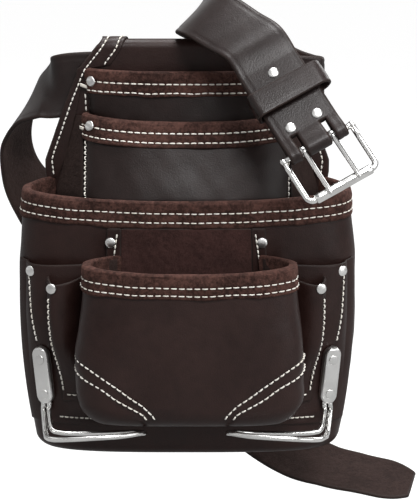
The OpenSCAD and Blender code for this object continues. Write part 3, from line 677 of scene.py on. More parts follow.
def strip_rows(side, t):
    """One stitch row along the outer edge, and a second one across the wide part above the trim."""
    prof = strip_profile()
    d = np.gradient(prof[:, :2], axis=0)
    nm = unit(np.stack([np.zeros(len(prof)), -d[:, 1], d[:, 0]], 1))
    y, z, key = prof.T
    outer = np.interp(z, OUTLINE_Z, OUTLINE_X) - 3.4 - 1.6 * ease((236 - z) / 20)
    inner = np.interp(key, [301, 306.5, 316, BODY_H + 2], [67.5, 64.4, 57.0, 50.0])
    out = []
    for x, keep in ((outer, y < 11), (inner, (y < 11) & (key > 301.5))):
        line = np.stack([x * side, y, z], 1) + nm * t
        out.append((line[keep], nm[keep]))
    return out


def build_edge_strip(side, name):
    p = strip_path(side)
    t = 1.7
    n = grid_normals(p) * -side
    rows = strip_rows(side, t)
    ob = sheet(name + "_hide", p + n * t, t, LEATHER3, seams=[r[0] for r in rows], groove=0.3, flip=side > 0)
    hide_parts(name)
    return rows


def rim_grid(fn, s, rim, depths):
    """Surface grid that follows a rim down to each depth."""
    u, d = mesh_grid(s, depths)
    return fn(u, rim(u) - d, 0.0)


def build_wall(name, fn, s, rim, depths, mats, wave=0.5, seed=1):
    """Pocket wall below a rim, with the slight waves of stiff leather."""
    p = rim_grid(fn, s, rim, depths)
    n = grid_normals(p)
    fade = ease(np.arange(p.shape[0]) / 18.0)[:, None]
    p = p + n * (waves(p, 70, seed, wave) * fade + waves(p, 24, seed + 3, wave * 0.18) * fade)[..., None]
    ob = sheet(name + "_hide", p, 2.8, mats, groove=0.4)
    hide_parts(name)


def binding_section(h, wall, rows):
    """Closed section of a folded suede binding: offsets outward and heights from the rim."""
    pts = []
    t = 1.6
    for z in np.linspace(-h, 0.5, 30):
        puff = 0.0
        for r in rows:
            puff -= 0.55 * math.exp(-((z + r) / 1.3) ** 2)
        puff += 0.4 * math.exp(-((z + rows[0] * 0.5) / 3.0) ** 2)
        edge = 0.5 * math.exp(-((z + h) / 0.7) ** 2)
        pts.append((0.25 + t + puff - edge, z))
    for a in np.linspace(10, 170, 14):
        c = math.radians(a)
        pts.append((-wall / 2 + (wall / 2 + 0.25 + t) * math.cos(c), 0.5 + 2.2 * math.sin(c)))
    for z in np.linspace(0.3, -h * 0.72, 10):
        pts.append((-wall - 0.25 - t, z))
    pts.append((-wall - 0.2, -h * 0.72))
    for z in np.linspace(-h * 0.6, -0.3, 5):
        pts.append((-wall - 0.2, z))
    pts += [(-wall + 0.6, 0.15), (0.05, 0.15)]
    for z in np.linspace(-0.6, -h, 6):
        pts.append((0.18, z))
    return np.array(pts)


def build_binding(name, fn, s, rim, h, wall, rows, seed, wob=0.35):
    """Suede folded over a rim and sewn with two rows."""
    sec = binding_section(h, wall, rows)
    u = np.asarray(s, float)
    base = rim(u)
    loops = []
    for o, dz in sec:
        loops.append(fn(u, base + dz, np.full(len(u), o)))
    p = np.array(loops).transpose(1, 0, 2)                     # along the rim, then round the section
    outer = np.arange(len(sec)) < 30
    n = grid_normals(p, closed=True)
    drift = waves(p, 30, seed, wob) + waves(p, 9, seed + 1, 0.12)
    drift = drift * np.where(outer, 1, 0.25)[None, :]
    lowedge = np.exp(-((sec[:, 1] + h) / 3.0) ** 2) * outer
    p = p - n * drift[..., None]
    p[..., 2] += (waves(p, 26, seed + 5, 0.55)) * lowedge[None, :]
    nu, ns = p.shape[:2]
    idx = np.arange(nu * ns).reshape(nu, ns)
    faces = []
    for i in range(nu - 1):
        for j in range(ns):
            k = (j + 1) % ns
            faces.append((int(idx[i, j]), int(idx[i, k]), int(idx[i + 1, k]), int(idx[i + 1, j])))
    faces.append(tuple(int(v) for v in idx[0]))
    faces.append(tuple(int(v) for v in idx[-1][::-1]))
    ob = make_object(name + "_suede", p.reshape(-1, 3), faces, [NAP], "pouch")
    # painted shade: marks the stitch rows and the binding's lower edge, where the suede colour is darkened
    near = np.zeros(ns)
    for r in rows:
        near = np.maximum(near, np.exp(-((sec[:, 1] + r) / 1.6) ** 2) * outer)
    near = np.maximum(near, np.exp(-((sec[:, 1] + h) / 1.2) ** 2) * outer * 0.8)
    add_values(ob, "seam", np.tile(near, nu))
    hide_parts(name)
    lines = []
    for r in rows:
        k = int(np.argmin(np.where(outer, np.abs(sec[:, 1] + r), 99)))
        line = p[:, k]
        dz = p[:, min(k + 1, 29)] - p[:, max(k - 1, 0)]
        ds = np.gradient(line, axis=0)
        nm = unit(np.cross(ds, dz))
        lines.append((line, nm))
    return lines


def sew(name, rows, pitch=5.8, dash=4.3, r=0.5):
    """One object with the stitches of all the given rows."""
    parts = []
    for line, nm in rows:
        parts += stitch_row(np.asarray(line), np.asarray(nm), pitch, dash, r)
    v, f = joined(parts)
    make_object(name, v, f, [THREAD], "pouch")


def floor_rows(fn, z0, r, tip, turns=10, rings=16):
    """Rows that round the bottom edge and run in under the pocket to its rear."""
    def make(s):
        rows = []
        for b in np.linspace(9, 90, turns):
            c = math.radians(b)
            rows.append(fn(s, z0 + r * (1 - math.sin(c)), -r * (1 - math.cos(c))))
        last = rows[-1]
        tip3 = np.array(tip, float)
        for k in range(1, rings):
            f = 1 - k / rings
            rows.append(tip3 + (last - tip3) * f)
        return np.array(rows)
    return make


def build_main_pocket():
    s = np.linspace(-1, 1, 240)
    depths = np.linspace(0.3, 197, 98)
    make = floor_rows(main_at, 0.0, BOTTOM_R, (0, -FACE_Y - 0.2, 0.0))
    u, d = mesh_grid(s, depths)
    z = main_rim(u) * (1 - d / depths[-1]) + BOTTOM_R * (d / depths[-1])
    p = main_at(u, z, 0.0)
    n = grid_normals(p)
    side = 1 - 0.8 * np.exp(-((np.abs(u) - 1) / 0.08) ** 2)
    low = 1 - 0.7 * np.exp(-((z - BOTTOM_R) / 12) ** 2)
    fade = ease((d - 18) / 30) * side * low
    p = p + n * ((waves(p, 80, 11, 0.8) + waves(p, 28, 12, 0.15)) * fade)[..., None]
    p = np.concatenate([p, make(s)], 0)
    ob = sheet("main_pocket_hide", p, 2.8, LEATHER3)
    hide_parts("main_pocket")


def build_front_pocket():
    s = np.linspace(-1, 1, 170)
    depths = np.linspace(0.3, 105, 58)
    make = floor_rows(front_at, FRONT_BASE_Z, FRONT_R, (3, -78.6, FRONT_BASE_Z), turns=12, rings=14)
    u, d = mesh_grid(s, depths)
    z = front_rim(u) * (1 - d / depths[-1]) + (FRONT_BASE_Z + FRONT_R) * (d / depths[-1])
    p = front_at(u, z, 0.0)
    n = grid_normals(p)
    fade = ease((d - 16) / 30) * (1 - 0.8 * np.exp(-((np.abs(u) - 1) / 0.1) ** 2))
    p = p + n * ((waves(p, 60, 21, 0.7) + waves(p, 22, 22, 0.14)) * fade)[..., None]
    p = np.concatenate([p, make(s)], 0)
    rows = dart_lines()
    ob = sheet("front_pocket_hide", p, 2.8, [HIDE_2, FLESH, CUT], seams=[r[0] for r in rows], groove=0.5)
    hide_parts("front_pocket")
    return rows


def dart_lines():
    """Two diagonal rows across each lower corner of the front pocket."""
    out = []
    upper = ((0.83, 92), (0.70, 91), (0.4625, 85.2), (0.2724, 73.8),
             (0.1425, 60.6), (0.1092, 55.8), (0.085, 49.5), (0.078, 44.5))
    lower = ((0.83, 84), (0.6964, 81.3), (0.3947, 72.2), (0.2487, 61.8),
             (0.1407, 52.5), (0.118, 48.0), (0.114, 44.0))
    for side in (-1, 1):
        for row in (upper, lower):
            k = spline(row, 8)
            z = k[:, 1]
            c = np.clip((FRONT_BASE_Z + FRONT_R - z) / FRONT_R, 0, 1)
            inset = -FRONT_R * (1 - np.sqrt(np.clip(1 - c ** 2, 0, 1)))
            p, n = surface_line(front_at, side * k[:, 0], z, inset)
            out.append((p, n))
    return out


def build_upper():
    s = np.linspace(-1, 1, 110)
    along = np.linspace(-1, 1, 130)
    rows_a = build_binding("upper_rear_trim", rear_at, along, rear_rim, 17, WALL, (7.2, 14.4), 31)
    rows_b = build_binding("upper_front_trim", upper_at, along, upper_rim, 17, WALL, (6.2, 13.2), 37)
    hides = [HIDE_UP, FLESH, CUT]
    down = np.linspace(0.4, 157.2, 90)
    build_wall("upper_rear_pocket", rear_at, s, rear_rim, down, hides, wave=0.8, seed=41)
    down = np.linspace(0.4, 153.2, 90)
    build_wall("upper_front_pocket", upper_at, s, upper_rim, down, hides, wave=1.0, seed=43)
    return rows_a + rows_b


def gusset_rear(z):
    return 87 + 17 * np.clip((UPPER_RIM_Z - z) / 61, 0, 1)


def build_gusset(side, name):
    z = np.linspace(262.5, 111, 70)
    t = np.linspace(0, 1, 16)
    tt, zz = np.meshgrid(t, z)
    x = gusset_rear(zz) * (1 - tt) + 82.2 * tt
    y = -(FACE_Y * (1 - tt) + (upper_end(zz) - 0.3) * tt)
    sag = 1.6 * np.sin(math.pi * tt) * ease((262 - zz) / 30)
    p = np.stack([(x - sag * 0.6) * side, y - sag * 0.2, zz], -1)
    ob = sheet(name + "_hide", p, 2.1, LEATHER3, flip=side < 0)
    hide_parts(name)


def vertical_seams():
    """The upper pocket's front edge rows, down to the main rim."""
    rows = []
    for side in (-1, 1):
        p, n = surface_line(upper_at, np.full(24, side * 0.862), np.linspace(248, 197, 24), 0.1)
        rows.append((p, n))
        z = np.linspace(283, 264, 8)
        edge = np.stack([np.linspace(81.6, 80.8, 8) * side, np.full(8, -3.3), z], 1)
        rows.append((edge, np.tile([0, -1.0, 0], (8, 1))))
        z = np.linspace(256, 212, 24)
        x = gusset_rear(z) * 0.86 + 82.2 * 0.14 + 0.2
        y = -(FACE_Y * 0.86 + (upper_end(z) - 0.3) * 0.14) - 0.6
        d = unit(np.stack([upper_end(z) - FACE_Y, gusset_rear(z) - 82.2, np.zeros(24)], 1) * [1, -1, 1])
        rows.append((np.stack([x * side, y, z], 1), d * [side, 1, 1]))
    return rows


def bar_tacks():
    """Short thick tacks that hold the outer corners of the two upper trims."""
    parts = []
    ends = (((78.6, -6.5, 286.2), (85.2, -6.2, 288.2)), ((80.4, -20.6, 254.2), (85.2, -17.2, 255.6)))
    for side in (-1, 1):
        flip = [side, 1, 1]
        for a, b in ends:
            for k in range(4):
                shift = np.array([0, -0.35 * (k % 2), 0.55 * (k - 1.5)])
                parts.append(one_stitch((np.array(a) + shift) * flip, (np.array(b) + shift) * flip,
                                        np.array([0.2 * side, -0.98, 0]), 0.55))
    v, f = joined(parts)
    make_object("corner_tacks", v, f, [THREAD], "pouch")


def patch(name, fn, s0, s1, z0, z1, out, t, mats, nu, nv, seams=None, body="pouch"):
    u, z = mesh_grid(np.linspace(s0, s1, nu), np.linspace(z1, z0, nv))
    o = out(u, z) if callable(out) else out
    p = fn(u, z, o + t)
    p = p + grid_normals(p) * (waves(p, 34, len(name), 0.18))[..., None]
    ob = sheet(name, p, t, mats, seams=seams, groove=0.35, body=body)
    return ob


def build_front_back():
    ob = patch("front_pocket_back_suede", main_at, -3 / STEPS, 3 / STEPS, 60, PATCH_TOP, 0.3, 1.4,
               [NAP_BACK, NAP_BACK, CUT], 50, 60)
    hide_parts("front_pocket_back")
    rows = []
    for side in (-1, 1):
        lo, hi = sorted((side * 3.1 / STEPS, side * 4.1 / STEPS))
        name = "front_tab_left" if side < 0 else "front_tab_right"
        z = np.linspace(183, 146, 20)
        p, n = surface_line(main_at, side * (3.3 + 0.45 * (183 - z) / 37) / STEPS, z, 2.3)
        rows.append((p, n))
        ob = patch(name + "_hide", main_at, lo, hi, 120, PATCH_TOP, 0.3, 1.9, LEATHER3, 12, 40,
                   seams=[p])
        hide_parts(name)
    return rows


def sleeve_at(s, z, out):
    """A point on the sleeve, which narrows toward its foot."""
    inner = SLEEVE_S[0]
    taper = np.sign(s) * (inner + (np.abs(s) - inner) * (1 - 0.08 * (SLEEVE_TOP - z) / 90))
    return main_at(taper, z, sleeve_gap(s, z) + PANEL_T + out)


def build_tool_side(side):
    """Side panel with its stitch rows, then the sleeve sewn on it."""
    tag = "left" if side < 0 else "right"
    a = np.linspace(*PANEL_S, 100)
    s, z = mesh_grid(a * side, np.linspace(1, 0, 90))
    top = PANEL_TOP - 2 * hill(np.abs(s), *PANEL_S)
    z = PANEL_LOW + z * (top - PANEL_LOW)
    p = main_at(s, z, panel_gap(s, z) + PANEL_T)
    n = grid_normals(p)
    fade = ease((np.abs(s) - 0.2) / 0.08) * ease((0.6 - np.abs(s)) / 0.06)
    p = p + n * (waves(p, 40, 51 + side, 0.35) * fade * side)[..., None]
    zz = np.linspace(149, 91, 46)
    k = (12.2 + 1.2 * (zz - 91) / 58) / STEPS
    e1, n1 = surface_line(main_at, side * k, zz, panel_gap(k, zz) + PANEL_T)
    k = np.linspace(11.0 / STEPS, 5.6 / STEPS, 44)
    b1, m1 = surface_line(main_at, side * k, np.full(44, 31.0), panel_gap(k, 31.0) + PANEL_T)
    rows = [(e1, n1), (b1, m1)]
    ob = sheet(f"tool_panel_{tag}_hide", p, 2.0, LEATHER3, seams=[e1, b1], groove=0.35, flip=side < 0)
    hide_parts(f"tool_panel_{tag}")
    a = np.linspace(*SLEEVE_S, 70)
    s, v = mesh_grid(a * side, np.linspace(1, 0, 80))
    q = (np.abs(s) - SLEEVE_S[0]) / (SLEEVE_S[1] - SLEEVE_S[0])
    top = SLEEVE_TOP - 5 * hill(np.abs(s), *SLEEVE_S) + 1.6 * np.exp(-((q - 0.86) / 0.1) ** 2)
    z = SLEEVE_LOW + v * (top - SLEEVE_LOW)
    p = sleeve_at(s, z, 0.0)
    n = grid_normals(p)
    fade = ease(q / 0.1) * ease((1 - q) / 0.1)
    p = p + n * (waves(p, 26, 61 + side, 0.35) * fade * side)[..., None]
    zz = np.linspace(134, 51.5, 58)
    t = (134 - zz) / 82.5
    ss = (8.6 + 0.7 * t - 0.1 * np.sin(math.pi * t)) / STEPS
    e2, n2 = surface_line(sleeve_at, side * ss, zz, np.zeros(58))
    k = np.linspace(9.3 / STEPS, 6.4 / STEPS, 24)
    b2, m2 = surface_line(sleeve_at, side * k, np.full(24, 50.6), np.zeros(24))
    rows += [(e2, n2), (b2, m2)]
    ob = sheet(f"tool_sleeve_{tag}_hide", p, 2.0, LEATHER3, seams=[e2, b2], groove=0.35, flip=side < 0)
    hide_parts(f"tool_sleeve_{tag}")
    return [(l, m * np.sign(m[0] @ np.array([0, -1, 0]) or 1)) for l, m in rows]


# ---------- metal on the pouch ----------

def revolve(profile, sides=28):
    prof = np.asarray(profile, float)
    verts, faces = [], []
    for r, z in prof:
        for j in range(sides):
            a = 2 * math.pi * j / sides
            verts.append((r * math.cos(a), r * math.sin(a), z))
    for i in range(len(prof) - 1):
        for j in range(sides):
            k = (j + 1) % sides
            faces.append((i * sides + j, i * sides + k, (i + 1) * sides + k, (i + 1) * sides + j))
    faces.append(tuple(range(sides))[::-1])
    faces.append(tuple((len(prof) - 1) * sides + j for j in range(sides)))
    return np.array(verts), faces


def cap_mesh(r=4.1, h=1.7):
    """Domed rivet cap with a rolled edge, axis along +Z."""
    prof = [(r * 0.9, -0.15), (r, 0.1), (r * 1.0, 0.32 * h), (r * 0.965, 0.45 * h)]
    for a in np.linspace(20, 86, 9):
        c = math.radians(a)
        prof.append((r * 0.985 * math.cos(c) * (0.98 if a > 20 else 1), h * (0.36 + 0.64 * math.sin(c))))
    prof.append((0.05, h))
    return revolve(prof)


def frame_from(z_axis, up=(0, 0, 1.0)):
    z = unit(np.asarray(z_axis, float))
    x = unit(np.cross(np.asarray(up, float), z))
    return np.stack([x, np.cross(z, x), z], 1)


def placed(mesh, centre, rot):
    v, f = mesh
    return v @ rot.T + np.asarray(centre, float), f


def surf_frame(fn, s, z, out):
    p, n = surface_line(fn, np.array([s]), np.array([z]), np.array([out]))
    return p[0], n[0]


def build_pocket_rivets():
    parts = []
    for side in (-1, 1):
        spots = [(main_at, 12.9 / STEPS, 150, float(panel_gap(12.9 / STEPS, 150.0)) + 2.2),
                 (main_at, 8.1 / STEPS, 140, float(sleeve_gap(8.2 / STEPS, 140.0)) + 2.2),
                 (main_at, 3.85 / STEPS, 174, 2.2),
                 (rear_at, 0.755, 291.5, 1.8), (upper_at, 0.71, 257.8, 1.8)]
        for fn, s, z, out in spots:
            p, n = surf_frame(fn, side * s, z, out)
            parts.append(placed(cap_mesh(), p + n * 0.1, frame_from(n)))
    v, f = joined(parts)
    ob = make_object("pocket_rivet_caps", v, f, [SATIN], "pouch")
    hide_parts("pocket_rivets")


PLATE_S, PLATE_Z = 11.8 / STEPS, 66.5
PLATE_H = 48
WIRE_R = 2.0


def plate_frame():
    """Centre and axes of the right plate: X across, Y up, Z out of the leather, as in the CAD."""
    d = main_at(PLATE_S + 0.01, PLATE_Z, 0.0) - main_at(PLATE_S - 0.01, PLATE_Z, 0.0)
    a = math.atan2(d[1], d[0])
    out = np.array([math.sin(a), -math.cos(a), 0])
    head, foot = [main_at(PLATE_S, z, float(panel_gap(PLATE_S, z)) + PANEL_T)
                  for z in (PLATE_Z + PLATE_H / 2, PLATE_Z - PLATE_H / 2)]
    lean = math.atan2((head - foot) @ out, PLATE_H)
    tilt = Matrix.Rotation(math.radians(-2), 3, "Z")
    rot = Matrix.Rotation(a, 3, "Z") @ Matrix.Rotation(math.pi / 2 + lean, 3, "X") @ tilt
    return (head + foot) / 2 + 0.6 * out, np.array(rot)


def plate_mesh():
    """Plate with round ends and softened edges, the same height all along."""
    nx, ny = 41, 91
    across, along = np.linspace(-1, 1, nx), np.linspace(-1, 1, ny)
    top = np.zeros((ny, nx, 3))
    for j, v in enumerate(along):
        y = 24 * math.sin(v * math.pi / 2) * 0.35 + 24 * v * 0.65
        half = 7.3 * math.sqrt(max(0.0, 1 - max(0.0, (abs(y) - 16.7) / 7.3) ** 2)) + 0.02
        end = 1 - max(0.0, (abs(y) - 21.5) / 2.5) ** 3
        for i, u in enumerate(across):
            top[j, i] = (half * u, y, 1.2 + 5.0 * (1 - abs(u) ** 7) ** 0.5 * max(0.0, end) ** 0.5)
    return top


def build_hammer_sets():
    c, rot = plate_frame()
    drop = ((-3, 2.6), (-21, 2.6), (-25.5, 3.3), (-30, 4.8))
    inner = [tuple(c + rot @ np.array([-2.5, y, z])) for y, z in drop]
    outer = [tuple(c + rot @ np.array([2.5, y, z])) for y, z in drop[::-1]]
    path = inner + [(106, -85, 27), (100, -88, 24.5), (86, -88, 23.5), (68, -87.5, 23.5), (50, -89, 24.5),
                    (38, -97, 27.5), (32, -112, 31.6), (36, -126, 35.5), (50, -134.5, 36), (70, -137.5, 35.5),
                    (88, -136, 34), (101, -128.5, 31.5), (107, -116, 29), (109, -102, 27),
                    (110.5, -91, 26.5)] + outer
    wire = tube(spline(path, 10), WIRE_R, 18)
    top = plate_mesh() @ rot.T + c
    caps = joined([placed(cap_mesh(3.9, 1.05), c + rot @ np.array([0, y, 6.25]), rot) for y in (14, -15)])
    all_caps = []
    for side in (-1, 1):
        flip = np.array([side, 1, 1])
        tag = "left" if side < 0 else "right"
        v, f = wire
        faces = [q[::-1] for q in f] if side < 0 else f
        ob = make_object(f"hammer_ring_{tag}", v * flip, faces, [NICKEL], "pouch")
        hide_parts(f"hammer_loop_{tag}")
        ob = sheet(f"hammer_plate_{tag}_steel", top * flip, 1.3, [SATIN] * 3, flip=side > 0, edge_round=0.35)
        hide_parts(f"hammer_plate_{tag}")
        all_caps.append((caps[0] * flip, [q[::-1] for q in caps[1]] if side < 0 else caps[1]))
    v, f = joined(all_caps)
    ob = make_object("hammer_rivet_caps", v, f, [SATIN], "pouch")
    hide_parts("hammer_rivets")


# ---------- belt ----------

BAR = np.array(frame["joints"][2]["pos_m"]) * 1000 - [0, REAR_Y, 0]
AX = np.array(next(j for j in frame["joints"] if j["name"] == "buckle_hinge")["axis"])
UP = np.array(next(j for j in frame["joints"] if j["name"] == "keeper_slide")["axis"])
OUT = np.cross(AX, UP)
BUCKLE = np.stack([AX, UP, OUT], 1)
BELT_T, STRAP_MID = 3.5, 1.85


def on_buckle(v):
    return np.asarray(v, float) @ BUCKLE.T + BAR


def strap_line():
    t = TUNNEL_Z
    line = [((186, -6, -47), (0.05, 0.93, 0.36)), ((166, -1, -44), (0.05, 0.93, 0.36)),
            ((143, 6, -41), (0.05, 0.93, 0.36)), ((118, 16, -38), (0.08, 0.9, 0.42)),
            ((90, 27, -30), (0.2, 0.75, 0.6)), ((60, 35, -10), (0.4, 0.5, 0.75)),
            ((25, 40, 22), (0.6, 0.2, 0.75)), ((-20, 44, 66), (0.66, 0.05, 0.75)),
            ((-66, 47, 112), (0.68, 0, 0.72)), ((-106, 51, 158), (0.66, 0.25, 0.66)),
            ((-127, 54, 185), (0.52, 0.6, 0.6)), ((-140, 54, 208), (0.44, 0.78, 0.42)),
            ((-143.5, 49, 232), (0.42, 0.86, 0.28)), ((-138, 41, 252), (0.42, 0.7, 0.5)),
            ((-128.5, 29.5, 269.5), (0.38, 0.58, 0.72)), ((-115.5, 17, 280), (0.18, 0.55, 0.8)),
            ((-104.5, 6.9, 285), (0.02, 0.08, 1)), ((-90, 4, t - 1), (0, 0, 1)),
            ((-60, 4, t), (0, 0, 1)), ((0, 4, t), (0, 0, 1)), ((60, 4, t), (0, 0, 1)),
            ((84, 4, t - 3), (0, 0, 1)), ((99.5, 4.1, t - 4), (0, 0, 1)),
            ((106.2, 6.4, t - 5), (0, 0, 1)), ((109, 12.2, t - 5.5), (0, 0, 1)),
            ((106.2, 18.2, t - 5), (0, 0, 1)), ((98, 21.8, t - 4), (0, 0, 1)),
            ((82, 26, 290), (0, 0.05, 1)), ((64, 34, 300), (0, 0.12, 1)),
            ((46, 42, 314), (0.04, 0.22, 1)), ((28, 42, 330), (0.15, 0.35, 0.9)),
            ((12, 24, 343), (0.45, 0.35, 0.75)), ((9, 0, 346), (0.65, 0.25, 0.62)),
            ((19, -22, 344), (0.75, 0.2, 0.56)), ((36, -42, 335), (0.82, 0.2, 0.5))]
    for y in (95, 73.05):
        line.append((tuple(on_buckle((0, y, STRAP_MID))), tuple(AX)))
    return line


def strap_frames():
    line = strap_line()
    c = spline([q[0] for q in line], 12)
    g = spline([q[1] for q in line], 12)
    # run on down the front layer, round the bar and back up as the rear layer
    local = [(y, STRAP_MID) for y in np.linspace(71, 15, 26)]
    r = 2.5 + BELT_T / 2
    local += [(y, STRAP_MID + (r - STRAP_MID) * float(ease((14.5 - y) / 14))) for y in np.linspace(13, 1, 10)]
    local += [(r * math.cos(a), r * math.sin(a)) for a in np.linspace(math.pi / 2, 1.5 * math.pi, 17)]
    local += [(y, -(STRAP_MID + (r - STRAP_MID) * float(ease((14.5 - y) / 14))))
              for y in np.linspace(1, 13, 10)]
    local += [(y, -STRAP_MID) for y in np.linspace(15, 73, 26)]
    start = len(c)
    c = np.concatenate([c, [on_buckle((0, y, z)) for y, z in local]])
    g = np.concatenate([g, np.tile(AX, (len(local), 1))])
    t = unit(np.gradient(c, axis=0))
    w = unit(g - (g * t).sum(1, keepdims=True) * t)
    n = np.cross(w, t)
    loc_y = np.concatenate([np.full(start, 99.0), [q[0] for q in local]])
    return c, w, n, loc_y


def build_strap():
    c, w, n, loc_y = strap_frames()
    half = 25 - 0.45 * BELT_T
    slot_x = [-16.3, -8.7, 8.7, 16.3]
    us = np.unique(np.concatenate([np.linspace(-half, half, 33), slot_x]))
    us = np.array([x for x in us if min(abs(x - s) for s in slot_x) > 0.5 or x in slot_x])
    length = np.concatenate([[0], np.cumsum(np.linalg.norm(np.diff(c, axis=0), axis=1))])
    tip = np.clip(1 - length / 26.0, 0, 1)
    narrow = 1 - 0.36 * tip ** 2.2
    crease = 0.28 * np.exp(-((half - np.abs(us) - 3.2) / 0.8) ** 2)
    side_lift = BELT_T / 2 - crease - 0.25 * (np.abs(us) / half) ** 6
    p = c[:, None] + w[:, None] * (us[None, :, None] * narrow[:, None, None])
    p = p - n[:, None] * side_lift[None, :, None]
    mask = np.ones((len(c) - 1, len(us) - 1), bool)
    mid_y = (loc_y[:-1] + loc_y[1:]) / 2
    mid_x = (us[:-1] + us[1:]) / 2
    in_slot = (np.abs(np.abs(mid_x) - 12.5) < 3.8)
    mask[np.ix_(mid_y < 14.5, in_slot)] = False
    edge_w = waves(p, 60, 71, 0.12)
    p = p - n[:, None] * edge_w[..., None]
    ob = sheet("belt_strap_hide", p, BELT_T - 0.1, BELT3, body="belt", mask=mask, edge_round=0.45)
    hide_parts("belt_strap")


def build_belt_rivets():
    parts = []
    for x, y in ((-11.5, 20), (11.5, 20), (0, 65.5)):
        parts.append(placed(cap_mesh(), on_buckle((x, y, 3.68)), BUCKLE))
        back = revolve([(1.0, -3.4), (3.4, -3.5), (3.7, -4.1), (3.2, -4.5), (1.9, -4.5), (1.7, -4.2),
                        (0.1, -4.15)])
        back = (back[0], [q[::-1] for q in back[1]])
        parts.append(placed(back, on_buckle((x, y, 0)), BUCKLE))
    v, f = joined(parts)
    ob = make_object("belt_rivet_caps", v, f, [SATIN], "belt")
    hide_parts("belt_rivets")


def build_keeper():
    t = 2.4
    low, high = -3.6 - 0.6 - t, 3.6 + 4.6 + t
    left, right = -25 - 1.2 - t, 25 + 7 + t
    mid, r = (low + high) / 2, (high - low) / 2
    cr = 4.5
    loop = []
    for cx, cz, a0, a1, rad in ((right - r, mid, -90, 90, r), (left + cr, high - cr, 90, 180, cr),
                                (left + cr, low + cr, 180, 270, cr)):
        for a in np.linspace(a0, a1, 22 if rad == r else 9):
            loop.append((cx + rad * math.cos(math.radians(a)), cz + rad * math.sin(math.radians(a))))
    loop.append(loop[0])
    loop = resample(np.array(loop), 1.6)[:-1]
    ys = np.linspace(37 + t * 0.45, 57 - t * 0.45, 13)
    bow = 0.5 * np.cos(np.linspace(-1, 1, 13) * math.pi / 2)
    edge = -0.25 * np.exp(-((np.linspace(-1, 1, 13) ** 2 - 0.72) / 0.12) ** 2)
    cen = loop.mean(0)
    p = np.zeros((len(ys), len(loop), 3))
    for i, y in enumerate(ys):
        q = loop + unit(loop - cen) * (bow[i] * 0.3 + edge[i])
        p[i] = on_buckle(np.stack([q[:, 0], np.full(len(q), y), q[:, 1]], 1))
    ob = sheet("belt_keeper_hide", p, t, BELT3, body="keeper", closed=True, flip=False, edge_round=0.45)
    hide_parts("belt_keeper")


def buckle_parts():
    fr, half, length, cr = 2.4, 25 + 2.2 + 2.4, 38.0, 5.0
    path = [(-half, 0, 0), (-half, -12, 0), (-half, -24, 0)]
    for a in np.linspace(0, 90, 9):
        c = math.radians(a)
        path.append((-half + cr - cr * math.cos(c), -length + cr - cr * math.sin(c), 0))
    path += [(0, -length, 0)]
    full = np.array(path)
    mirror = full[::-1][1:] * [-1, 1, 1]
    u = tube(np.concatenate([full, mirror]), fr, 20, True, (0, 0, 1.0))
    bar = tube([(-half, 0, 0), (half, 0, 0)], fr, 20, True, (0, 0, 1.0))
    knob = revolve([(0.05, -2.7), (1.6, -2.5), (2.7, -1.4), (2.9, 0), (2.7, 1.4), (1.6, 2.5),
                    (0.05, 2.7)], 20)
    knobs = [placed(knob, (sx * (half + 0.1), 0, 0), frame_from((1, 0, 0))) for sx in (-1, 1)]
    return joined([u, bar] + knobs)


def build_buckle():
    v, f = buckle_parts()
    ob = make_object("buckle_frame_steel", on_buckle(v), f, [NICKEL], "buckle")
    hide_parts("buckle_frame")
    hl = 25 + 2.2 + 2.4 - 5.5
    prof = [(2.5, -hl), (3.4, -hl), (3.8, -hl + 0.5), (3.8, -hl + 4)]
    prof += [(3.8 - 0.12 * math.sin(k), z) for k, z in zip(np.linspace(0, math.pi, 5), np.linspace(-3, 3, 5))]
    prof += [(3.8, hl - 4), (3.8, hl - 0.5), (3.4, hl), (2.5, hl)]
    rv, rf = revolve(prof, 28)
    rf = rf[:-2]
    v2 = rv[:, [2, 1, 0]] + [0, -38, 0]
    ob = make_object("buckle_roller_steel", on_buckle(v2), [q[::-1] for q in rf], [NICKEL], "roller")
    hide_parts("buckle_roller")
    for x, tag in ((-12.5, "left"), (12.5, "right")):
        eye = revolve([(2.46, -2.4), (3.9, -2.4), (4.35, -2.0), (4.35, 2.0), (3.9, 2.4), (2.46, 2.4)], 24)
        eye = (eye[0][:, [2, 1, 0]] + [x, 0, 0], [q[::-1] for q in eye[1][:-2]])
        rise, z0 = 3.8 + 1.9 + 0.08, 4.35 - 1.9 + 0.3
        lift = math.atan2(rise - z0, 38.0)
        s = np.array([0, 3, 8, 16, 26, 34, 39, 41, 41.8, 42.0])
        rad = np.array([1.8, 1.9, 1.9, 1.9, 1.85, 1.8, 1.75, 1.45, 0.9, 0.1])
        spine = np.stack([np.full(10, x), -s * math.cos(lift), z0 + s * math.sin(lift)], 1)
        prong = tube(spine, rad, 16, True, (1.0, 0, 0))
        v, f = joined([eye, prong])
        ob = make_object(f"buckle_tongue_{tag}_steel", on_buckle(v), f, [NICKEL], f"tongue_{tag}")
        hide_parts(f"buckle_tongue_{tag}")


# ---------- stage ----------

FLOOR_Z = -0.075


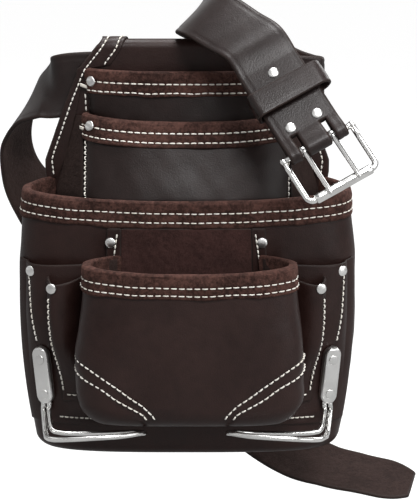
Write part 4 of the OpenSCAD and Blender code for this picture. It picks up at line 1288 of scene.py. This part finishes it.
def stage():
    target = Vector((0.0176, REAR_Y / 1000 - 0.030, 0.1584))
    me = bpy.data.meshes.new("floor")
    corners = [(-15, -15), (15, -15), (15, 15), (-15, 15)]
    me.from_pydata([(x, y, FLOOR_Z) for x, y in corners], [], [(0, 1, 2, 3)])
    ob = bpy.data.objects.new("floor", me)
    bpy.context.scene.collection.objects.link(ob)
    m, nt, b = nodes_of("pale_paper")
    b.inputs["Base Color"].default_value = (0.26, 0.26, 0.26, 1)
    b.inputs["Roughness"].default_value = 0.95
    b.inputs["Specular IOR Level"].default_value = 0.1
    eye = node(nt, "ShaderNodeLightPath")
    b.inputs["Emission Color"].default_value = (1, 1, 1, 1)
    seen = math_node(nt, "MAXIMUM", math_node(nt, "MULTIPLY", eye.outputs["Is Camera Ray"], 0.9),
                     math_node(nt, "MULTIPLY", eye.outputs["Is Glossy Ray"], 0.18))
    link(nt, seen, b.inputs["Emission Strength"])
    me.materials.append(m)
    for name, loc, size, power, aim in (("key", (0.45, -1.4, 1.6), 0.9, 29, (0, 0, 0.15)),
                                        ("fill", (1.4, -1.1, 0.6), 1.2, 8, (0, 0, 0.15)),
                                        ("top", (0.1, 0.2, 1.7), 0.9, 22, (0, 0, 0.1)),
                                        ("rim", (1.3, 1.2, 1.0), 0.9, 10, (0, 0, 0.15))):
        d = bpy.data.lights.new(name, "AREA")
        d.shape, d.size, d.energy = "DISK", size, power
        o = bpy.data.objects.new(name, d)
        o.location = loc
        o.rotation_mode = "QUATERNION"
        o.rotation_quaternion = (Vector(aim) - Vector(loc)).to_track_quat("-Z", "Y")
        bpy.context.scene.collection.objects.link(o)
    world = bpy.data.worlds.new("studio")
    bpy.context.scene.world = world
    world.use_nodes = True
    tree = world.node_tree
    sky = tree.nodes["Background"]
    sky.inputs[0].default_value = (1, 1, 1, 1)
    eye = node(tree, "ShaderNodeLightPath")
    split = node(tree, "ShaderNodeSeparateXYZ")
    link(tree, node(tree, "ShaderNodeTexCoord").outputs["Generated"], split.inputs[0])
    phase = math_node(tree, "ADD", math_node(tree, "MULTIPLY", split.outputs["Z"], 10.0),
                      math_node(tree, "MULTIPLY", split.outputs["X"], 5.0))
    wave = math_node(tree, "MULTIPLY", math_node(tree, "SINE", phase, 0.0), 0.55)
    bands = math_node(tree, "ADD", wave, 0.52)
    shine = math_node(tree, "MAXIMUM", math_node(tree, "MULTIPLY", eye.outputs["Is Glossy Ray"], bands), 0.27)
    link(tree, math_node(tree, "MAXIMUM", eye.outputs["Is Camera Ray"], shine), sky.inputs[1])
    cam = bpy.data.cameras.new("camera")
    cam.lens, cam.sensor_width = 135.0, 36.0
    co = bpy.data.objects.new("camera", cam)
    el = math.radians(12)
    co.location = target + Vector((0, -math.cos(el), math.sin(el))) * 1.5
    co.rotation_mode = "QUATERNION"
    co.rotation_quaternion = (target - co.location).to_track_quat("-Z", "Y")
    bpy.context.scene.collection.objects.link(co)
    bpy.context.scene.camera = co
    bpy.context.scene.view_settings.view_transform = "Standard"


def build():
    back = build_back_panel()
    strips = build_edge_strip(-1, "edge_strip_left") + build_edge_strip(1, "edge_strip_right")
    sew("back_stitches", back, 5.5, 4.0, 0.5)
    sew("edge_stitches", strips, 4.2, 2.7, 0.56)
    sew("upper_stitches", build_upper(), 5.6, 4.2, 0.56)
    build_gusset(-1, "upper_gusset_left")
    build_gusset(1, "upper_gusset_right")
    sew("upper_side_stitches", vertical_seams(), 4.3, 2.8, 0.56)
    bar_tacks()
    build_main_pocket()
    along = np.linspace(-1, 1, 260)
    rows = build_binding("main_trim", main_at, along, main_rim, 18.6, WALL, (6.9, 14.1), 81, 0.5)
    sew("main_rim_stitches", rows)
    sew("tab_stitches", build_front_back(), 4.4, 3.0, 0.56)
    darts = build_front_pocket()
    along = np.linspace(-1, 1, 190)
    rows = build_binding("front_trim", front_at, along, front_rim, 16.8, WALL, (8.0, 14.0), 91, 0.45)
    sew("front_rim_stitches", rows)
    sew("front_corner_stitches", darts, 4.9, 3.4, 0.6)
    for side, tag in ((-1, "left"), (1, "right")):
        sew(f"tool_stitches_{tag}", build_tool_side(side), 4.4, 3.0, 0.58)
    build_pocket_rivets()
    build_hammer_sets()
    build_strap()
    build_belt_rivets()
    build_keeper()
    build_buckle()


build()
stage()
